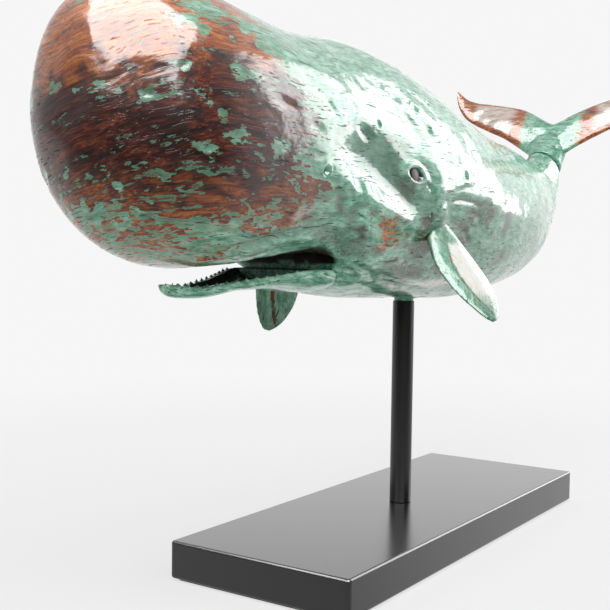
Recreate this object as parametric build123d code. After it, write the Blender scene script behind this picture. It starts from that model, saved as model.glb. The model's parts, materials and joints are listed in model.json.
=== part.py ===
from build123d import *
import math
import os

# A sperm whale ornament: a cast, patinated whale that one round post carries above a black plinth.
# Millimetres. The origin is on the floor under the post's axis. +X runs from the head to the tail,
# +Z is up, and -Y is the whale's left side, the one that the photograph shows.

# Plinth and its felt
BASE_LENGTH = 322.0
BASE_WIDTH = 119.0
BASE_THICKNESS = 21.5
BASE_EDGE_RADIUS = 1.6
BASE_CORNER_RADIUS = 2.4
FELT_THICKNESS = 1.0
FELT_INSET = 2.5
FELT_CORNER_RADIUS = 4.0
RECESS_DEPTH = 7.5

# Post
POST_DIAMETER = 14.0
POST_LENGTH = 133.0
POST_CHAMFER = 0.4

# Screw and washer under the plinth, which hold the post
SCREW_DIAMETER = 8.0
SCREW_REACH = 20.0
SCREW_HEAD_DIAMETER = 14.0
SCREW_HEAD_HEIGHT = 4.4
SCREW_SOCKET_WIDTH = 5.0
SCREW_SOCKET_DEPTH = 2.6
WASHER_DIAMETER = 24.0
WASHER_THICKNESS = 2.0

# Stud and brass insert, which hold the whale on the post
STUD_DIAMETER = 6.0
STUD_IN_POST = 15.0
STUD_IN_INSERT = 17.0
INSERT_DIAMETER = 9.0
INSERT_LENGTH = 22.0
INSERT_GROOVE_WIDTH = 2.0
INSERT_GROOVE_DEPTH = 0.6
INSERT_GROOVES = 3
NECK_DIAMETER = 12.6
NECK_LENGTH = 2.2
BOSS_WALL = 8.0

# Clearances, each on the radius or on one side, and the overrun of every cut
THREAD_CLEARANCE = 0.05
HOLE_CLEARANCE = 0.3
BORE_END_GAP = 3.0
PEG_CLEARANCE = 0.15
EYE_CLEARANCE = 0.1
OVERRUN = 3.0

# Whale: its trunk between the nose and the end of the tail stock
NOSE_REACH = 290.0
BODY_LENGTH = 540.0
BODY_DEPTH = 152.0
BODY_BREADTH = 116.0
CASTING_WALL = 8.0

# Mouth and lower jaw
JAW_LENGTH = 126.0
JAW_BREADTH = 96.0
JAW_DEPTH = 20.0
JAW_LIP_WIDTH = 2.6
JAW_FLOOR = 2.8
PALATE_RISE = 11.0
MOUTH_BREADTH = 76.0
TOOTH_DIAMETER = 2.4
TOOTH_HEIGHT = 2.6
TOOTH_SINK = 0.6
TOOTH_SIDES = 6
TEETH_PER_SIDE = 13
JAW_PEG_DIAMETER = 8.0
JAW_PEG_LENGTH = 24.0

# Eyes
EYE_DIAMETER = 9.2
EYE_SINK = 3.4
EYELID_THICKNESS = 3.2
EYE_HOLLOW_LENGTH = 66.0
EYE_HOLLOW_HEIGHT = 30.0
EYE_HOLLOW_DEPTH = 2.6
EYE_HOLLOW_TILT = 12.0
EYE_HOLLOW_LEAD = 24.0

# Pectoral fins
FIN_LENGTH = 60.0
FIN_CHORD = 31.0
FIN_THICKNESS = 8.0
FIN_SINK = 5.0
FIN_ROOT_BURIED = 9.0
LEFT_FIN_SPLAY = 41.0
RIGHT_FIN_SPLAY = 8.0
LEFT_FIN_RAKE = -1.0
RIGHT_FIN_RAKE = -5.0
LEFT_FIN_TURN = 18.0
RIGHT_FIN_TURN = -34.0
FIN_PEG_DIAMETER = 6.0
FIN_PEG_DEPTH = 6.5
FIN_PEG_TILT = 45.0

# Tail flukes
FLUKE_HALF_SPAN = 102.0
FLUKE_REACH = 88.0
FLUKE_THICKNESS = 13.0
FLUKE_PEG_DIAMETER = 8.0
FLUKE_PEG_LENGTH = 12.0

# Number of points round a closed outline
RING_POINTS = 16
HALF_RING_POINTS = 9

# Places on the whale, as shares of its length behind the nose and of its depth above its lowest level
JAW_TIP_PLACE_SHARE = 0.1
JAW_UNDERSIDE_SHARE = 0.022
EYE_PLACE_SHARE = 0.37
EYE_HEIGHT_SHARE = 0.475
FIN_PLACE_SHARE = 0.426
FIN_HEIGHT_SHARE = 0.245

# How deep the hollow round the eye sinks into its half breadth, were it a whole oval
HOLLOW_CAP_SHARE = 0.25

# Place of the jaw's peg, as shares of the jaw's length behind its tip and of its depth above its underside
JAW_PEG_PLACE_SHARE = 0.746
JAW_PEG_HEIGHT_SHARE = 0.55

# How far the neck's root rises inside the belly, as a share of the whale's depth
NECK_ROOT_SHARE = 0.1

# Each station of the whale's trunk: its place along the body, the height of its middle, its depth and
# its breadth as shares, then the lean of its plane in degrees and how boxy its upper and lower halves are.
BODY_STATION_SHARES = [
    (0.001, 0.653, 0.158, 0.172, 0.0, 2.0, 2.1),
    (0.007, 0.643, 0.395, 0.474, 0.0, 2.0, 2.1),
    (0.020, 0.624, 0.599, 0.690, 0.0, 2.05, 2.2),
    (0.044, 0.597, 0.750, 0.845, 0.0, 2.08, 2.25),
    (0.083, 0.572, 0.838, 0.940, 0.0, 2.08, 2.3),
    (0.144, 0.552, 0.847, 0.974, 0.0, 2.08, 2.3),
    (0.207, 0.545, 0.812, 0.966, 0.0, 2.04, 2.35),
    (0.256, 0.552, 0.805, 0.953, 0.0, 2.0, 2.6),
    (0.287, 0.532, 0.862, 0.953, 0.0, 1.95, 2.85),
    (0.322, 0.511, 0.932, 0.957, 0.0, 1.9, 2.5),
    (0.374, 0.502, 0.963, 0.966, 0.0, 1.85, 2.15),
    (0.444, 0.483, 0.956, 0.978, 0.0, 1.78, 2.05),
    (0.528, 0.453, 0.904, 0.979, 0.0, 1.73, 2.05),
    (0.607, 0.417, 0.851, 0.934, 0.0, 1.7, 2.0),
    (0.685, 0.391, 0.780, 0.836, 0.0, 1.75, 2.0),
    (0.763, 0.389, 0.712, 0.716, 0.0, 1.9, 2.0),
    (0.833, 0.397, 0.647, 0.590, 3.0, 2.0, 2.0),
    (0.893, 0.423, 0.559, 0.462, 12.0, 2.0, 2.0),
    (0.939, 0.495, 0.434, 0.353, 32.0, 2.0, 2.0),
    (0.969, 0.591, 0.332, 0.279, 47.0, 2.0, 2.0),
    (0.989, 0.693, 0.245, 0.231, 58.0, 2.0, 2.0),
]
# The hollow inside follows some of these stations. Each has its number above, and how much of the
# palate's rise its floor has, as a share.
CAVITY_FLOOR_SHARES = [
    (4, 1.0),
    (5, 1.0),
    (6, 1.0),
    (8, 1.5),
    (10, 0.3),
    (12, 0.0),
    (14, 0.0),
    (15, 0.0),
]
MOUTH_STATION = 6

# Each station of the lower jaw: its place from tip to root, its breadth, and the heights of its rim and
# of its underside above the jaw's lowest level, as shares of the jaw's length, breadth and depth.
JAW_STATION_SHARES = [
    (0.000, 0.030, 0.475, 0.390),
    (0.020, 0.085, 0.475, 0.240),
    (0.075, 0.112, 0.430, 0.140),
    (0.175, 0.156, 0.400, 0.110),
    (0.315, 0.240, 0.500, 0.175),
    (0.460, 0.354, 0.625, 0.265),
    (0.580, 0.469, 0.730, 0.280),
    (0.700, 0.580, 0.825, 0.230),
    (0.795, 0.640, 0.800, 0.170),
    (0.890, 0.560, 0.680, 0.170),
    (1.000, 0.380, 0.540, 0.330),
]
# Each station of the upper mouth's hollow: its place along the jaw, its breadth, and the height of its
# middle, as shares of the jaw's length, the mouth's breadth and the jaw's depth.
MOUTH_STATION_SHARES = [
    (0.13, 0.16, 0.75),
    (0.20, 0.46, 0.75),
    (0.31, 0.70, 0.75),
    (0.46, 0.88, 0.76),
    (0.60, 0.97, 0.78),
    (0.72, 1.00, 0.82),
    (0.80, 0.92, 0.86),
]
TROUGH_FROM_SHARE = 0.05
TROUGH_TO_SHARE = 0.72
TEETH_FROM_SHARE = 0.06
TEETH_TO_SHARE = 0.62

# Each station of a pectoral fin from root to tip: its place, chord, thickness and how far its middle
# lies behind the root's, as shares of the fin's length, chord and thickness.
FIN_STATION_SHARES = [
    (0.00, 0.62, 1.00, 0.16),
    (0.22, 0.86, 0.92, 0.08),
    (0.45, 1.00, 0.76, 0.01),
    (0.68, 0.92, 0.58, 0.01),
    (0.86, 0.66, 0.42, 0.00),
    (0.96, 0.36, 0.28, -0.03),
    (1.00, 0.12, 0.16, -0.06),
]

# Each station of a fluke from the middle to the tip: its place along the half span, its leading and
# trailing edges and its lift as shares of the fluke's reach, and its thickness as a share.
FLUKE_STATION_SHARES = [
    (0.00, 0.03, 0.48, 0.00, 1.00),
    (0.12, 0.08, 0.55, 0.01, 0.94),
    (0.30, 0.23, 0.67, 0.02, 0.72),
    (0.54, 0.40, 0.76, 0.02, 0.55),
    (0.76, 0.54, 0.82, 0.01, 0.40),
    (0.90, 0.68, 0.89, 0.02, 0.28),
    (0.97, 0.82, 0.96, 0.04, 0.18),
    (1.00, 0.92, 0.99, 0.055, 0.10),
]
# Each station of the fairing between the tail stock and the flukes: its place as a share of the fluke's
# reach, then its breadth and depth as shares of the tail stock's end.
FAIRING_STATION_SHARES = [
    (0.00, 1.00, 1.00),
    (0.12, 1.16, 0.74),
    (0.26, 1.30, 0.46),
    (0.40, 1.10, 0.26),
]

# Levels from the floor up: the plinth's underside and top, the post's top and the whale's lowest level
FELT_TOP = FELT_THICKNESS
BASE_TOP = FELT_TOP + BASE_THICKNESS
POST_TOP = BASE_TOP + POST_LENGTH
BELLY = POST_TOP + NECK_LENGTH

# Places that several pieces share
JAW_TIP = JAW_TIP_PLACE_SHARE * BODY_LENGTH - NOSE_REACH
JAW_UNDERSIDE = BELLY + JAW_UNDERSIDE_SHARE * BODY_DEPTH
JAW_PEG_START = JAW_TIP + JAW_PEG_PLACE_SHARE * JAW_LENGTH
JAW_PEG_LEVEL = JAW_UNDERSIDE + JAW_PEG_HEIGHT_SHARE * JAW_DEPTH


def signed_power(value, power):
    """Raise a number's size to a power and keep its sign."""
    return math.copysign(abs(value) ** power, value)


def ring(plane, half_breadth, half_depth, upper=2, lower=2):
    """Closed smooth outline in a plane: an ellipse, or a form of one with boxier or sharper halves."""
    points = []
    for step in range(RING_POINTS):
        angle = math.tau * step / RING_POINTS - math.pi / 2
        boxiness = upper if math.sin(angle) > 0 else lower
        across = half_breadth * signed_power(math.cos(angle), 2 / boxiness)
        up = half_depth * signed_power(math.sin(angle), 2 / boxiness)
        points.append(plane.from_local_coords((across, up, 0)))
    return Wire([Edge.make_spline(points, periodic=True)])


def bowl(x, half_breadth, rim, underside):
    """Outline across the jaw: a flat rim over a round underside."""
    points = []
    for step in range(HALF_RING_POINTS):
        angle = math.pi * step / (HALF_RING_POINTS - 1)
        across = half_breadth * math.cos(angle)
        down = (rim - underside) * math.sin(angle)
        points.append(Vector(x, across, rim - down))
    return Wire([Edge.make_spline(points), Edge.make_line(points[-1], points[0])])


def between(stations, place, column):
    """Value of one column of a table of stations at a place between two of them."""
    for near, far in zip(stations, stations[1:]):
        if near[0] <= place <= far[0]:
            part_way = (place - near[0]) / (far[0] - near[0])
            return near[column] + part_way * (far[column] - near[column])
    return stations[-1][column]


def refined(rows):
    """The rows of a table with one more row between each pair, on a smooth curve through them all."""
    finer = []
    for count, (near, far) in enumerate(zip(rows, rows[1:])):
        halfway = []
        for column, (start, end) in enumerate(zip(near, far)):
            before = rows[count - 1][column] if count > 0 else 2 * start - end
            after = rows[count + 2][column] if count + 2 < len(rows) else 2 * end - start
            halfway.append((9 * (start + end) - before - after) / 16)
        finer.append(near)
        finer.append(tuple(halfway))
    finer.append(rows[-1])
    return finer


def station_plane(x, z, lean):
    """Plane across the body at a height, leaning back by an angle in degrees."""
    turn = math.radians(lean)
    return Plane(origin=(x, 0, z), x_dir=(0, 1, 0), z_dir=(math.cos(turn), 0, math.sin(turn)))


def trunk():
    """The whale's outer form from the nose to the end of the tail stock."""
    rings = []
    for along, middle, depth, breadth, lean, upper, lower in refined(BODY_STATION_SHARES):
        plane = station_plane(along * BODY_LENGTH - NOSE_REACH, BELLY + middle * BODY_DEPTH, lean)
        rings.append(ring(plane, breadth * BODY_BREADTH / 2, depth * BODY_DEPTH / 2, upper, lower))
    return Solid.make_loft(rings)


def cavity():
    """The hollow inside the casting, with a thicker floor over the mouth."""
    rows = []
    for number, floor in CAVITY_FLOOR_SHARES:
        rows.append((*BODY_STATION_SHARES[number], floor))
    rings = []
    for along, middle, depth, breadth, lean, upper, lower, floor in refined(rows):
        top = BELLY + (middle + depth / 2) * BODY_DEPTH - CASTING_WALL
        low = BELLY + (middle - depth / 2) * BODY_DEPTH + CASTING_WALL + floor * PALATE_RISE
        plane = station_plane(along * BODY_LENGTH - NOSE_REACH, (top + low) / 2, lean)
        half_breadth = breadth * BODY_BREADTH / 2 - CASTING_WALL
        rings.append(ring(plane, half_breadth, (top - low) / 2, upper, lower))
    return Solid.make_loft(rings)


def round_bar(plane, radius, length):
    """A cylinder that stands on a plane."""
    return Solid.make_cylinder(radius, length, plane)


def stock_end():
    """Plane of the tail stock's end, and the half breadth and half depth of the casting there."""
    along, middle, depth, breadth, lean, upper, lower = BODY_STATION_SHARES[-1]
    plane = station_plane(along * BODY_LENGTH - NOSE_REACH, BELLY + middle * BODY_DEPTH, lean)
    return plane, breadth * BODY_BREADTH / 2, depth * BODY_DEPTH / 2


def fin_root(side):
    """Point in the whale's flank where a pectoral fin is rooted: side is -1 on the left, 1 on the right."""
    x = FIN_PLACE_SHARE * BODY_LENGTH - NOSE_REACH
    return Vector(x, side * (BODY_BREADTH / 2 - FIN_SINK), BELLY + FIN_HEIGHT_SHARE * BODY_DEPTH)


def fin_peg(side, clearance):
    """The peg that seats a fin in the flank, or its socket."""
    turn = math.radians(FIN_PEG_TILT)
    inward = Vector(0, -side * math.cos(turn), math.sin(turn))
    start = fin_root(side) - inward * OVERRUN
    plane = Plane(origin=start, z_dir=inward)
    return round_bar(plane, FIN_PEG_DIAMETER / 2 + clearance, OVERRUN + FIN_PEG_DEPTH + clearance)


def jaw_peg(clearance):
    """The peg that seats the jaw in the throat, or its socket."""
    plane = Plane(origin=(JAW_PEG_START, 0, JAW_PEG_LEVEL), z_dir=(1, 0, 0))
    return round_bar(plane, JAW_PEG_DIAMETER / 2 + clearance, JAW_PEG_LENGTH + clearance)


def fluke_peg(clearance):
    """The peg that seats the flukes in the tail stock, or its socket."""
    end = stock_end()[0]
    start = end.origin - end.z_dir * (FLUKE_PEG_LENGTH + clearance)
    plane = Plane(origin=start, x_dir=(0, 1, 0), z_dir=end.z_dir)
    return round_bar(plane, FLUKE_PEG_DIAMETER / 2 + clearance, FLUKE_PEG_LENGTH + clearance + OVERRUN)


def eye_plane(side):
    """Plane through an eye's middle that faces away from the head."""
    x = EYE_PLACE_SHARE * BODY_LENGTH - NOSE_REACH
    centre = Vector(x, side * (BODY_BREADTH / 2 - EYE_SINK), BELLY + EYE_HEIGHT_SHARE * BODY_DEPTH)
    return Plane(origin=centre, z_dir=(0, side, 0))


def eye_ball(side, clearance):
    """A round eye set in the side of the head, or its socket."""
    return Solid.make_sphere(EYE_DIAMETER / 2 + clearance, eye_plane(side), angle1=-90, angle2=90)


def eye_lids(side):
    """The swollen ring of both lids round an eye."""
    return Solid.make_torus(EYE_DIAMETER / 2, EYELID_THICKNESS / 2, eye_plane(side))


def eye_hollow(side):
    """The shallow oval hollow in front of an eye, which the brow and the cheek leave between them."""
    half_breadth = EYE_HOLLOW_DEPTH / HOLLOW_CAP_SHARE
    spread = 2 * math.sqrt(1 - (1 - HOLLOW_CAP_SHARE) ** 2)
    oval = scale(Solid.make_sphere(1, angle1=-90, angle2=90), (
        EYE_HOLLOW_LENGTH / spread, half_breadth, EYE_HOLLOW_HEIGHT / spread))
    eye = eye_plane(side).origin
    flank = side * (BODY_BREADTH / 2 + half_breadth - EYE_HOLLOW_DEPTH)
    return Pos(eye.X - EYE_HOLLOW_LEAD, flank, eye.Z) * Rot(0, EYE_HOLLOW_TILT, 0) * oval


def palate_height():
    """Height of the upper mouth's roof."""
    along, middle, depth, breadth, lean, upper, lower = BODY_STATION_SHARES[MOUTH_STATION]
    return BELLY + (middle - depth / 2) * BODY_DEPTH + PALATE_RISE


def mouth_hollow():
    """The hollow of the upper mouth, over the lower jaw."""
    rings = []
    for along, breadth, height in MOUTH_STATION_SHARES:
        middle = JAW_UNDERSIDE + height * JAW_DEPTH
        plane = station_plane(JAW_TIP + along * JAW_LENGTH, middle, 0)
        rings.append(ring(plane, breadth * MOUTH_BREADTH / 2, palate_height() - middle))
    return Solid.make_loft(rings)


def whale_body(outer):
    """The hollow casting with its neck, its boss for the insert, and its sockets."""
    floor = Plane(origin=(0, 0, POST_TOP))
    boss_height = INSERT_LENGTH + BOSS_WALL
    boss = round_bar(floor, INSERT_DIAMETER / 2 + BOSS_WALL, boss_height)
    neck = round_bar(floor, NECK_DIAMETER / 2, NECK_LENGTH + NECK_ROOT_SHARE * BODY_DEPTH)
    casting = outer - cavity()
    for side in (-1, 1):
        casting = casting - eye_hollow(side) + eye_lids(side)
    casting = casting + (boss & outer) + neck
    casting = casting - round_bar(floor, INSERT_DIAMETER / 2 + THREAD_CLEARANCE, INSERT_LENGTH + BORE_END_GAP)
    casting = casting - mouth_hollow() - jaw_peg(PEG_CLEARANCE) - fluke_peg(PEG_CLEARANCE)
    for side in (-1, 1):
        casting = casting - fin_peg(side, PEG_CLEARANCE) - eye_ball(side, EYE_CLEARANCE)
    return casting


def lower_jaw(outer):
    """The thin jaw: a boat-shaped trough whose rims carry two rows of small cone teeth."""
    shell = []
    trough = []
    for along, breadth, rim, underside in JAW_STATION_SHARES:
        x = JAW_TIP + along * JAW_LENGTH
        half_breadth = breadth * JAW_BREADTH / 2
        rim_height = JAW_UNDERSIDE + rim * JAW_DEPTH
        low = JAW_UNDERSIDE + underside * JAW_DEPTH
        shell.append(bowl(x, half_breadth, rim_height, low))
        if TROUGH_FROM_SHARE < along < TROUGH_TO_SHARE:
            trough.append(bowl(x, half_breadth - JAW_LIP_WIDTH, rim_height + OVERRUN, low + JAW_FLOOR))
    jaw = Solid.make_loft(shell) - Solid.make_loft(trough)
    teeth = []
    for count in range(TEETH_PER_SIDE):
        place = TEETH_FROM_SHARE + (TEETH_TO_SHARE - TEETH_FROM_SHARE) * count / (TEETH_PER_SIDE - 1)
        x = JAW_TIP + place * JAW_LENGTH
        reach = between(JAW_STATION_SHARES, place, 1) * JAW_BREADTH / 2 - JAW_LIP_WIDTH / 2
        rim_height = JAW_UNDERSIDE + between(JAW_STATION_SHARES, place, 2) * JAW_DEPTH
        for side in (-1, 1):
            root = Plane(origin=(x, side * reach, rim_height - TOOTH_SINK))
            foot = root * RegularPolygon(TOOTH_DIAMETER / 2, TOOTH_SIDES)
            tip = Vertex(x, side * reach, rim_height - TOOTH_SINK + TOOTH_HEIGHT)
            teeth.append(loft([foot.face(), tip], ruled=True).solid())
    jaw = jaw.fuse(*teeth)
    return jaw - outer + jaw_peg(0)


def pectoral_fin(side, splay, rake, turn, outer):
    """A paddle-shaped fin with a peg: side is -1 on the left, 1 on the right.

    The angles are in degrees. The fin leans out from the vertical by its splay and back by its rake, and
    its trailing edge turns outward by its turn.
    """
    lean = math.radians(splay)
    rake = math.radians(rake)
    down = Vector(math.sin(rake), side * math.sin(lean) * math.cos(rake), -math.cos(lean) * math.cos(rake))
    level = Vector(1, 0, 0)
    level = (level - down * level.dot(down)).normalized()
    outward = level.cross(down) * side
    chordwise = level * math.cos(math.radians(turn)) + outward * math.sin(math.radians(turn))
    root = fin_root(side) - down * FIN_ROOT_BURIED
    reach = FIN_LENGTH + FIN_ROOT_BURIED
    rings = []
    for along, chord, thickness, setback in FIN_STATION_SHARES:
        centre = root + down * (along * reach) + chordwise * (setback * FIN_CHORD)
        plane = Plane(origin=centre, x_dir=chordwise, z_dir=down)
        rings.append(ring(plane, chord * FIN_CHORD / 2, thickness * FIN_THICKNESS / 2))
    return Solid.make_loft(rings) - outer + fin_peg(side, 0)


def tail_flukes():
    """Both flukes on one fairing, with the peg that seats them in the tail stock."""
    end, half_breadth, half_depth = stock_end()
    dorsal = end.y_dir
    rings = []
    for out, lead, trail, lift, thickness in FLUKE_STATION_SHARES:
        middle = (lead + trail) / 2 * FLUKE_REACH
        centre = end.origin + end.z_dir * middle + dorsal * (lift * FLUKE_REACH)
        centre = centre + Vector(0, out * FLUKE_HALF_SPAN, 0)
        plane = Plane(origin=centre, x_dir=end.z_dir, z_dir=(0, 1, 0))
        rings.append(ring(plane, (trail - lead) * FLUKE_REACH / 2, thickness * FLUKE_THICKNESS / 2))
    right = Solid.make_loft(rings)
    left = mirror(right, about=Plane.XZ)
    fairing = []
    for along, breadth, depth in FAIRING_STATION_SHARES:
        plane = Plane(origin=end.origin + end.z_dir * (along * FLUKE_REACH), x_dir=(0, 1, 0), z_dir=end.z_dir)
        fairing.append(ring(plane, breadth * half_breadth, depth * half_depth))
    return left.fuse(right, Solid.make_loft(fairing), fluke_peg(0))


def base_plate():
    """The plinth, with soft edges, the hole for the screw and the recess for its head."""
    plate = Box(BASE_LENGTH, BASE_WIDTH, BASE_THICKNESS, align=(Align.CENTER, Align.CENTER, Align.MIN))
    plate = fillet(plate.edges().filter_by(Axis.Z), BASE_CORNER_RADIUS)
    rims = plate.edges().group_by(Axis.Z)[0] + plate.edges().group_by(Axis.Z)[-1]
    plate = Pos(0, 0, FELT_TOP) * fillet(rims, BASE_EDGE_RADIUS)
    under = Plane(origin=(0, 0, FELT_TOP))
    hole = round_bar(under, SCREW_DIAMETER / 2 + HOLE_CLEARANCE, BASE_THICKNESS)
    recess = round_bar(under, WASHER_DIAMETER / 2 + HOLE_CLEARANCE, RECESS_DEPTH)
    return plate - hole - recess


def base_felt():
    """The thin felt sheet glued under the plinth."""
    sheet = RectangleRounded(BASE_LENGTH - 2 * FELT_INSET, BASE_WIDTH - 2 * FELT_INSET, FELT_CORNER_RADIUS)
    return extrude(sheet, FELT_THICKNESS)


def support_post():
    """The round post, with a threaded bore in each end."""
    post = Cylinder(POST_DIAMETER / 2, POST_LENGTH, align=(Align.CENTER, Align.CENTER, Align.MIN))
    post = Pos(0, 0, BASE_TOP) * chamfer(post.edges().filter_by(GeomType.CIRCLE), POST_CHAMFER)
    lower = Plane(origin=(0, 0, BASE_TOP))
    upper = Plane(origin=(0, 0, POST_TOP), z_dir=(0, 0, -1))
    post = post - round_bar(lower, SCREW_DIAMETER / 2 + THREAD_CLEARANCE, SCREW_REACH + BORE_END_GAP)
    return post - round_bar(upper, STUD_DIAMETER / 2 + THREAD_CLEARANCE, STUD_IN_POST + BORE_END_GAP)


def base_screw():
    """The screw that goes up through the plinth into the post, with a hexagon socket in its head."""
    seat = FELT_TOP + RECESS_DEPTH - WASHER_THICKNESS
    head_plane = Plane(origin=(0, 0, seat - SCREW_HEAD_HEIGHT))
    head = round_bar(head_plane, SCREW_HEAD_DIAMETER / 2, SCREW_HEAD_HEIGHT)
    shank = round_bar(Plane(origin=(0, 0, seat)), SCREW_DIAMETER / 2, BASE_TOP - seat + SCREW_REACH)
    hexagon = head_plane * RegularPolygon(SCREW_SOCKET_WIDTH / 2, 6, major_radius=False)
    return head + shank - extrude(hexagon, SCREW_SOCKET_DEPTH)


def base_washer():
    """The plain washer between the screw's head and the plinth."""
    under = Plane(origin=(0, 0, FELT_TOP + RECESS_DEPTH - WASHER_THICKNESS))
    disc = round_bar(under, WASHER_DIAMETER / 2, WASHER_THICKNESS)
    return disc - round_bar(under, SCREW_DIAMETER / 2 + HOLE_CLEARANCE, WASHER_THICKNESS)


def threaded_stud():
    """The headless stud between the post and the insert."""
    low = Plane(origin=(0, 0, POST_TOP - STUD_IN_POST))
    return round_bar(low, STUD_DIAMETER / 2, STUD_IN_POST + STUD_IN_INSERT)


def threaded_insert():
    """The brass insert bonded in the casting, with grooves that key it."""
    low = Plane(origin=(0, 0, POST_TOP))
    insert = round_bar(low, INSERT_DIAMETER / 2, INSERT_LENGTH)
    insert = insert - round_bar(low, STUD_DIAMETER / 2 + THREAD_CLEARANCE, INSERT_LENGTH)
    pitch = INSERT_LENGTH / (INSERT_GROOVES + 1)
    for count in range(INSERT_GROOVES):
        middle = POST_TOP + pitch * (count + 1)
        start = Plane(origin=(0, 0, middle - INSERT_GROOVE_WIDTH / 2))
        band = round_bar(start, INSERT_DIAMETER / 2 + OVERRUN, INSERT_GROOVE_WIDTH)
        core = round_bar(start, INSERT_DIAMETER / 2 - INSERT_GROOVE_DEPTH, INSERT_GROOVE_WIDTH)
        insert = insert - (band - core)
    return insert


def main():
    """Make every piece and write one file for each node."""
    os.makedirs("parts", exist_ok=True)
    outer = trunk()
    pieces = {
        "whale_body": whale_body(outer),
        "lower_jaw": lower_jaw(outer),
        "left_pectoral_fin": pectoral_fin(-1, LEFT_FIN_SPLAY, LEFT_FIN_RAKE, LEFT_FIN_TURN, outer),
        "right_pectoral_fin": pectoral_fin(1, RIGHT_FIN_SPLAY, RIGHT_FIN_RAKE, RIGHT_FIN_TURN, outer),
        "tail_flukes": tail_flukes(),
        "left_eye": eye_ball(-1, 0),
        "right_eye": eye_ball(1, 0),
        "threaded_insert": threaded_insert(),
        "threaded_stud": threaded_stud(),
        "support_post": support_post(),
        "base_plate": base_plate(),
        "base_screw": base_screw(),
        "base_washer": base_washer(),
        "base_felt": base_felt(),
    }
    for name, piece in pieces.items():
        export_step(piece, f"parts/{name}.step")
        print(name, "solids", len(piece.solids()), "volume", round(piece.volume))


main()
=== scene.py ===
"""Dresses the whale ornament: a patinated, varnished casting on a black lacquered stand.

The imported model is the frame. Every piece here stands where its node stands, in metres: +X runs from the
whale's head to its tail, +Z is up, and -Y is the side that the photograph shows.
"""

from __future__ import annotations

import json
import logging
import math
from dataclasses import dataclass, field
from enum import Enum

import bmesh
import bpy
import numpy as np
from mathutils import Matrix, Vector, noise
from mathutils.bvhtree import BVHTree

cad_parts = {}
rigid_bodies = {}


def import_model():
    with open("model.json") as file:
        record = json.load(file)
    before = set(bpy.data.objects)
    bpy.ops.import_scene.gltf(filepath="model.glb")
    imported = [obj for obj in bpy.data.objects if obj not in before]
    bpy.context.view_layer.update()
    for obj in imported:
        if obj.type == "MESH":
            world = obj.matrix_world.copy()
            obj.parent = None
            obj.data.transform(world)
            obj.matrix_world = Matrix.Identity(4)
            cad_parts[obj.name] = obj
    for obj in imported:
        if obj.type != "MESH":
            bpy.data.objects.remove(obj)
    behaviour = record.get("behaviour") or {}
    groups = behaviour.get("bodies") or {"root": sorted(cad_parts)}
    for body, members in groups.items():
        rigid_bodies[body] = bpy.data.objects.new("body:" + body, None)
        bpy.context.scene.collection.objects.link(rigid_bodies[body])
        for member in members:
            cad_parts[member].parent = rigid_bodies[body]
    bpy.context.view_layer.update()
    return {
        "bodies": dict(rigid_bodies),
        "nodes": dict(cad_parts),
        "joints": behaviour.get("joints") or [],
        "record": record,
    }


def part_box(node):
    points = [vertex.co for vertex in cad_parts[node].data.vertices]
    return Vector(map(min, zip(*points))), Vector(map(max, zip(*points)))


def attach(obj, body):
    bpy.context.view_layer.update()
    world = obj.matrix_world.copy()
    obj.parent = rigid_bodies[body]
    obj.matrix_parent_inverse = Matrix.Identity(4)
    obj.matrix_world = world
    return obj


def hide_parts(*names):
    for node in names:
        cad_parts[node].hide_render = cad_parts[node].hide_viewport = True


LOG = logging.getLogger("whale_ornament")
MM = 0.001
PHOTO_WIDTH = 610
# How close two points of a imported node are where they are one, in millimetres
MERGE_GAP = 0.002
BODY = "root"
FLOW = "flow"
OTHER_SIDE = np.array([1.0, -1.0, 1.0])
# Blender's noise runs from 0 to 1 around this
NOISE_MIDDLE = 0.5

# Places of a colour mix node's sockets
MIX_FACTOR = 0
MIX_UNDER = 6
MIX_OVER = 7
MIX_RESULT = 2

# Settings of a mix node that mixes colours, and of a map range node that eases
COLOURS = {"data_type": "RGBA"}
EASED = {"interpolation_type": "SMOOTHSTEP"}

Socket = bpy.types.NodeSocket
Stops = tuple[tuple[float, str], ...]
Table = tuple[tuple[float, float], ...]
Swell = tuple[float, float, float]


def linear(hex_colour: str) -> tuple[float, float, float, float]:
    """Turn an sRGB hex colour into linear light.

    Args:
        hex_colour: six hex digits after a number sign.

    Returns:
        Red, green, blue and an alpha of 1.
    """
    channels = []
    for start in (1, 3, 5):
        value = int(hex_colour[start:start + 2], 16) / 255
        channels.append(value / 12.92 if value <= 0.04045 else ((value + 0.055) / 1.055) ** 2.4)
    return (channels[0], channels[1], channels[2], 1.0)


def read_table(table: Table, values: np.ndarray, outside: float | None = None) -> np.ndarray:
    """Read numbers off a table, with straight lines between its rows.

    Args:
        table: rows of a measure and its number, the lowest measure first.
        values: the measures to look up.
        outside: the number beyond the table's ends, where it isn't the end row's own.

    Returns:
        A number for each measure.
    """
    measures, numbers = np.array(table).T
    return np.interp(values, measures, numbers, left=outside, right=outside)


def row_limits(places: np.ndarray, values: np.ndarray, row_length: float) -> tuple[np.ndarray, np.ndarray]:
    """Find the lowest and highest value in each point's row.

    Args:
        places: where each point lies along the rows, in millimetres.
        values: a number for each point.
        row_length: length of a row, in millimetres.

    Returns:
        The lowest and the highest number of each point's row.
    """
    rows = np.round(places / row_length).astype(int)
    low = np.zeros(len(rows))
    high = np.zeros(len(rows))
    for row in np.unique(rows):
        near = rows == row
        low[near] = values[near].min()
        high[near] = values[near].max()
    return low, high


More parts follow.
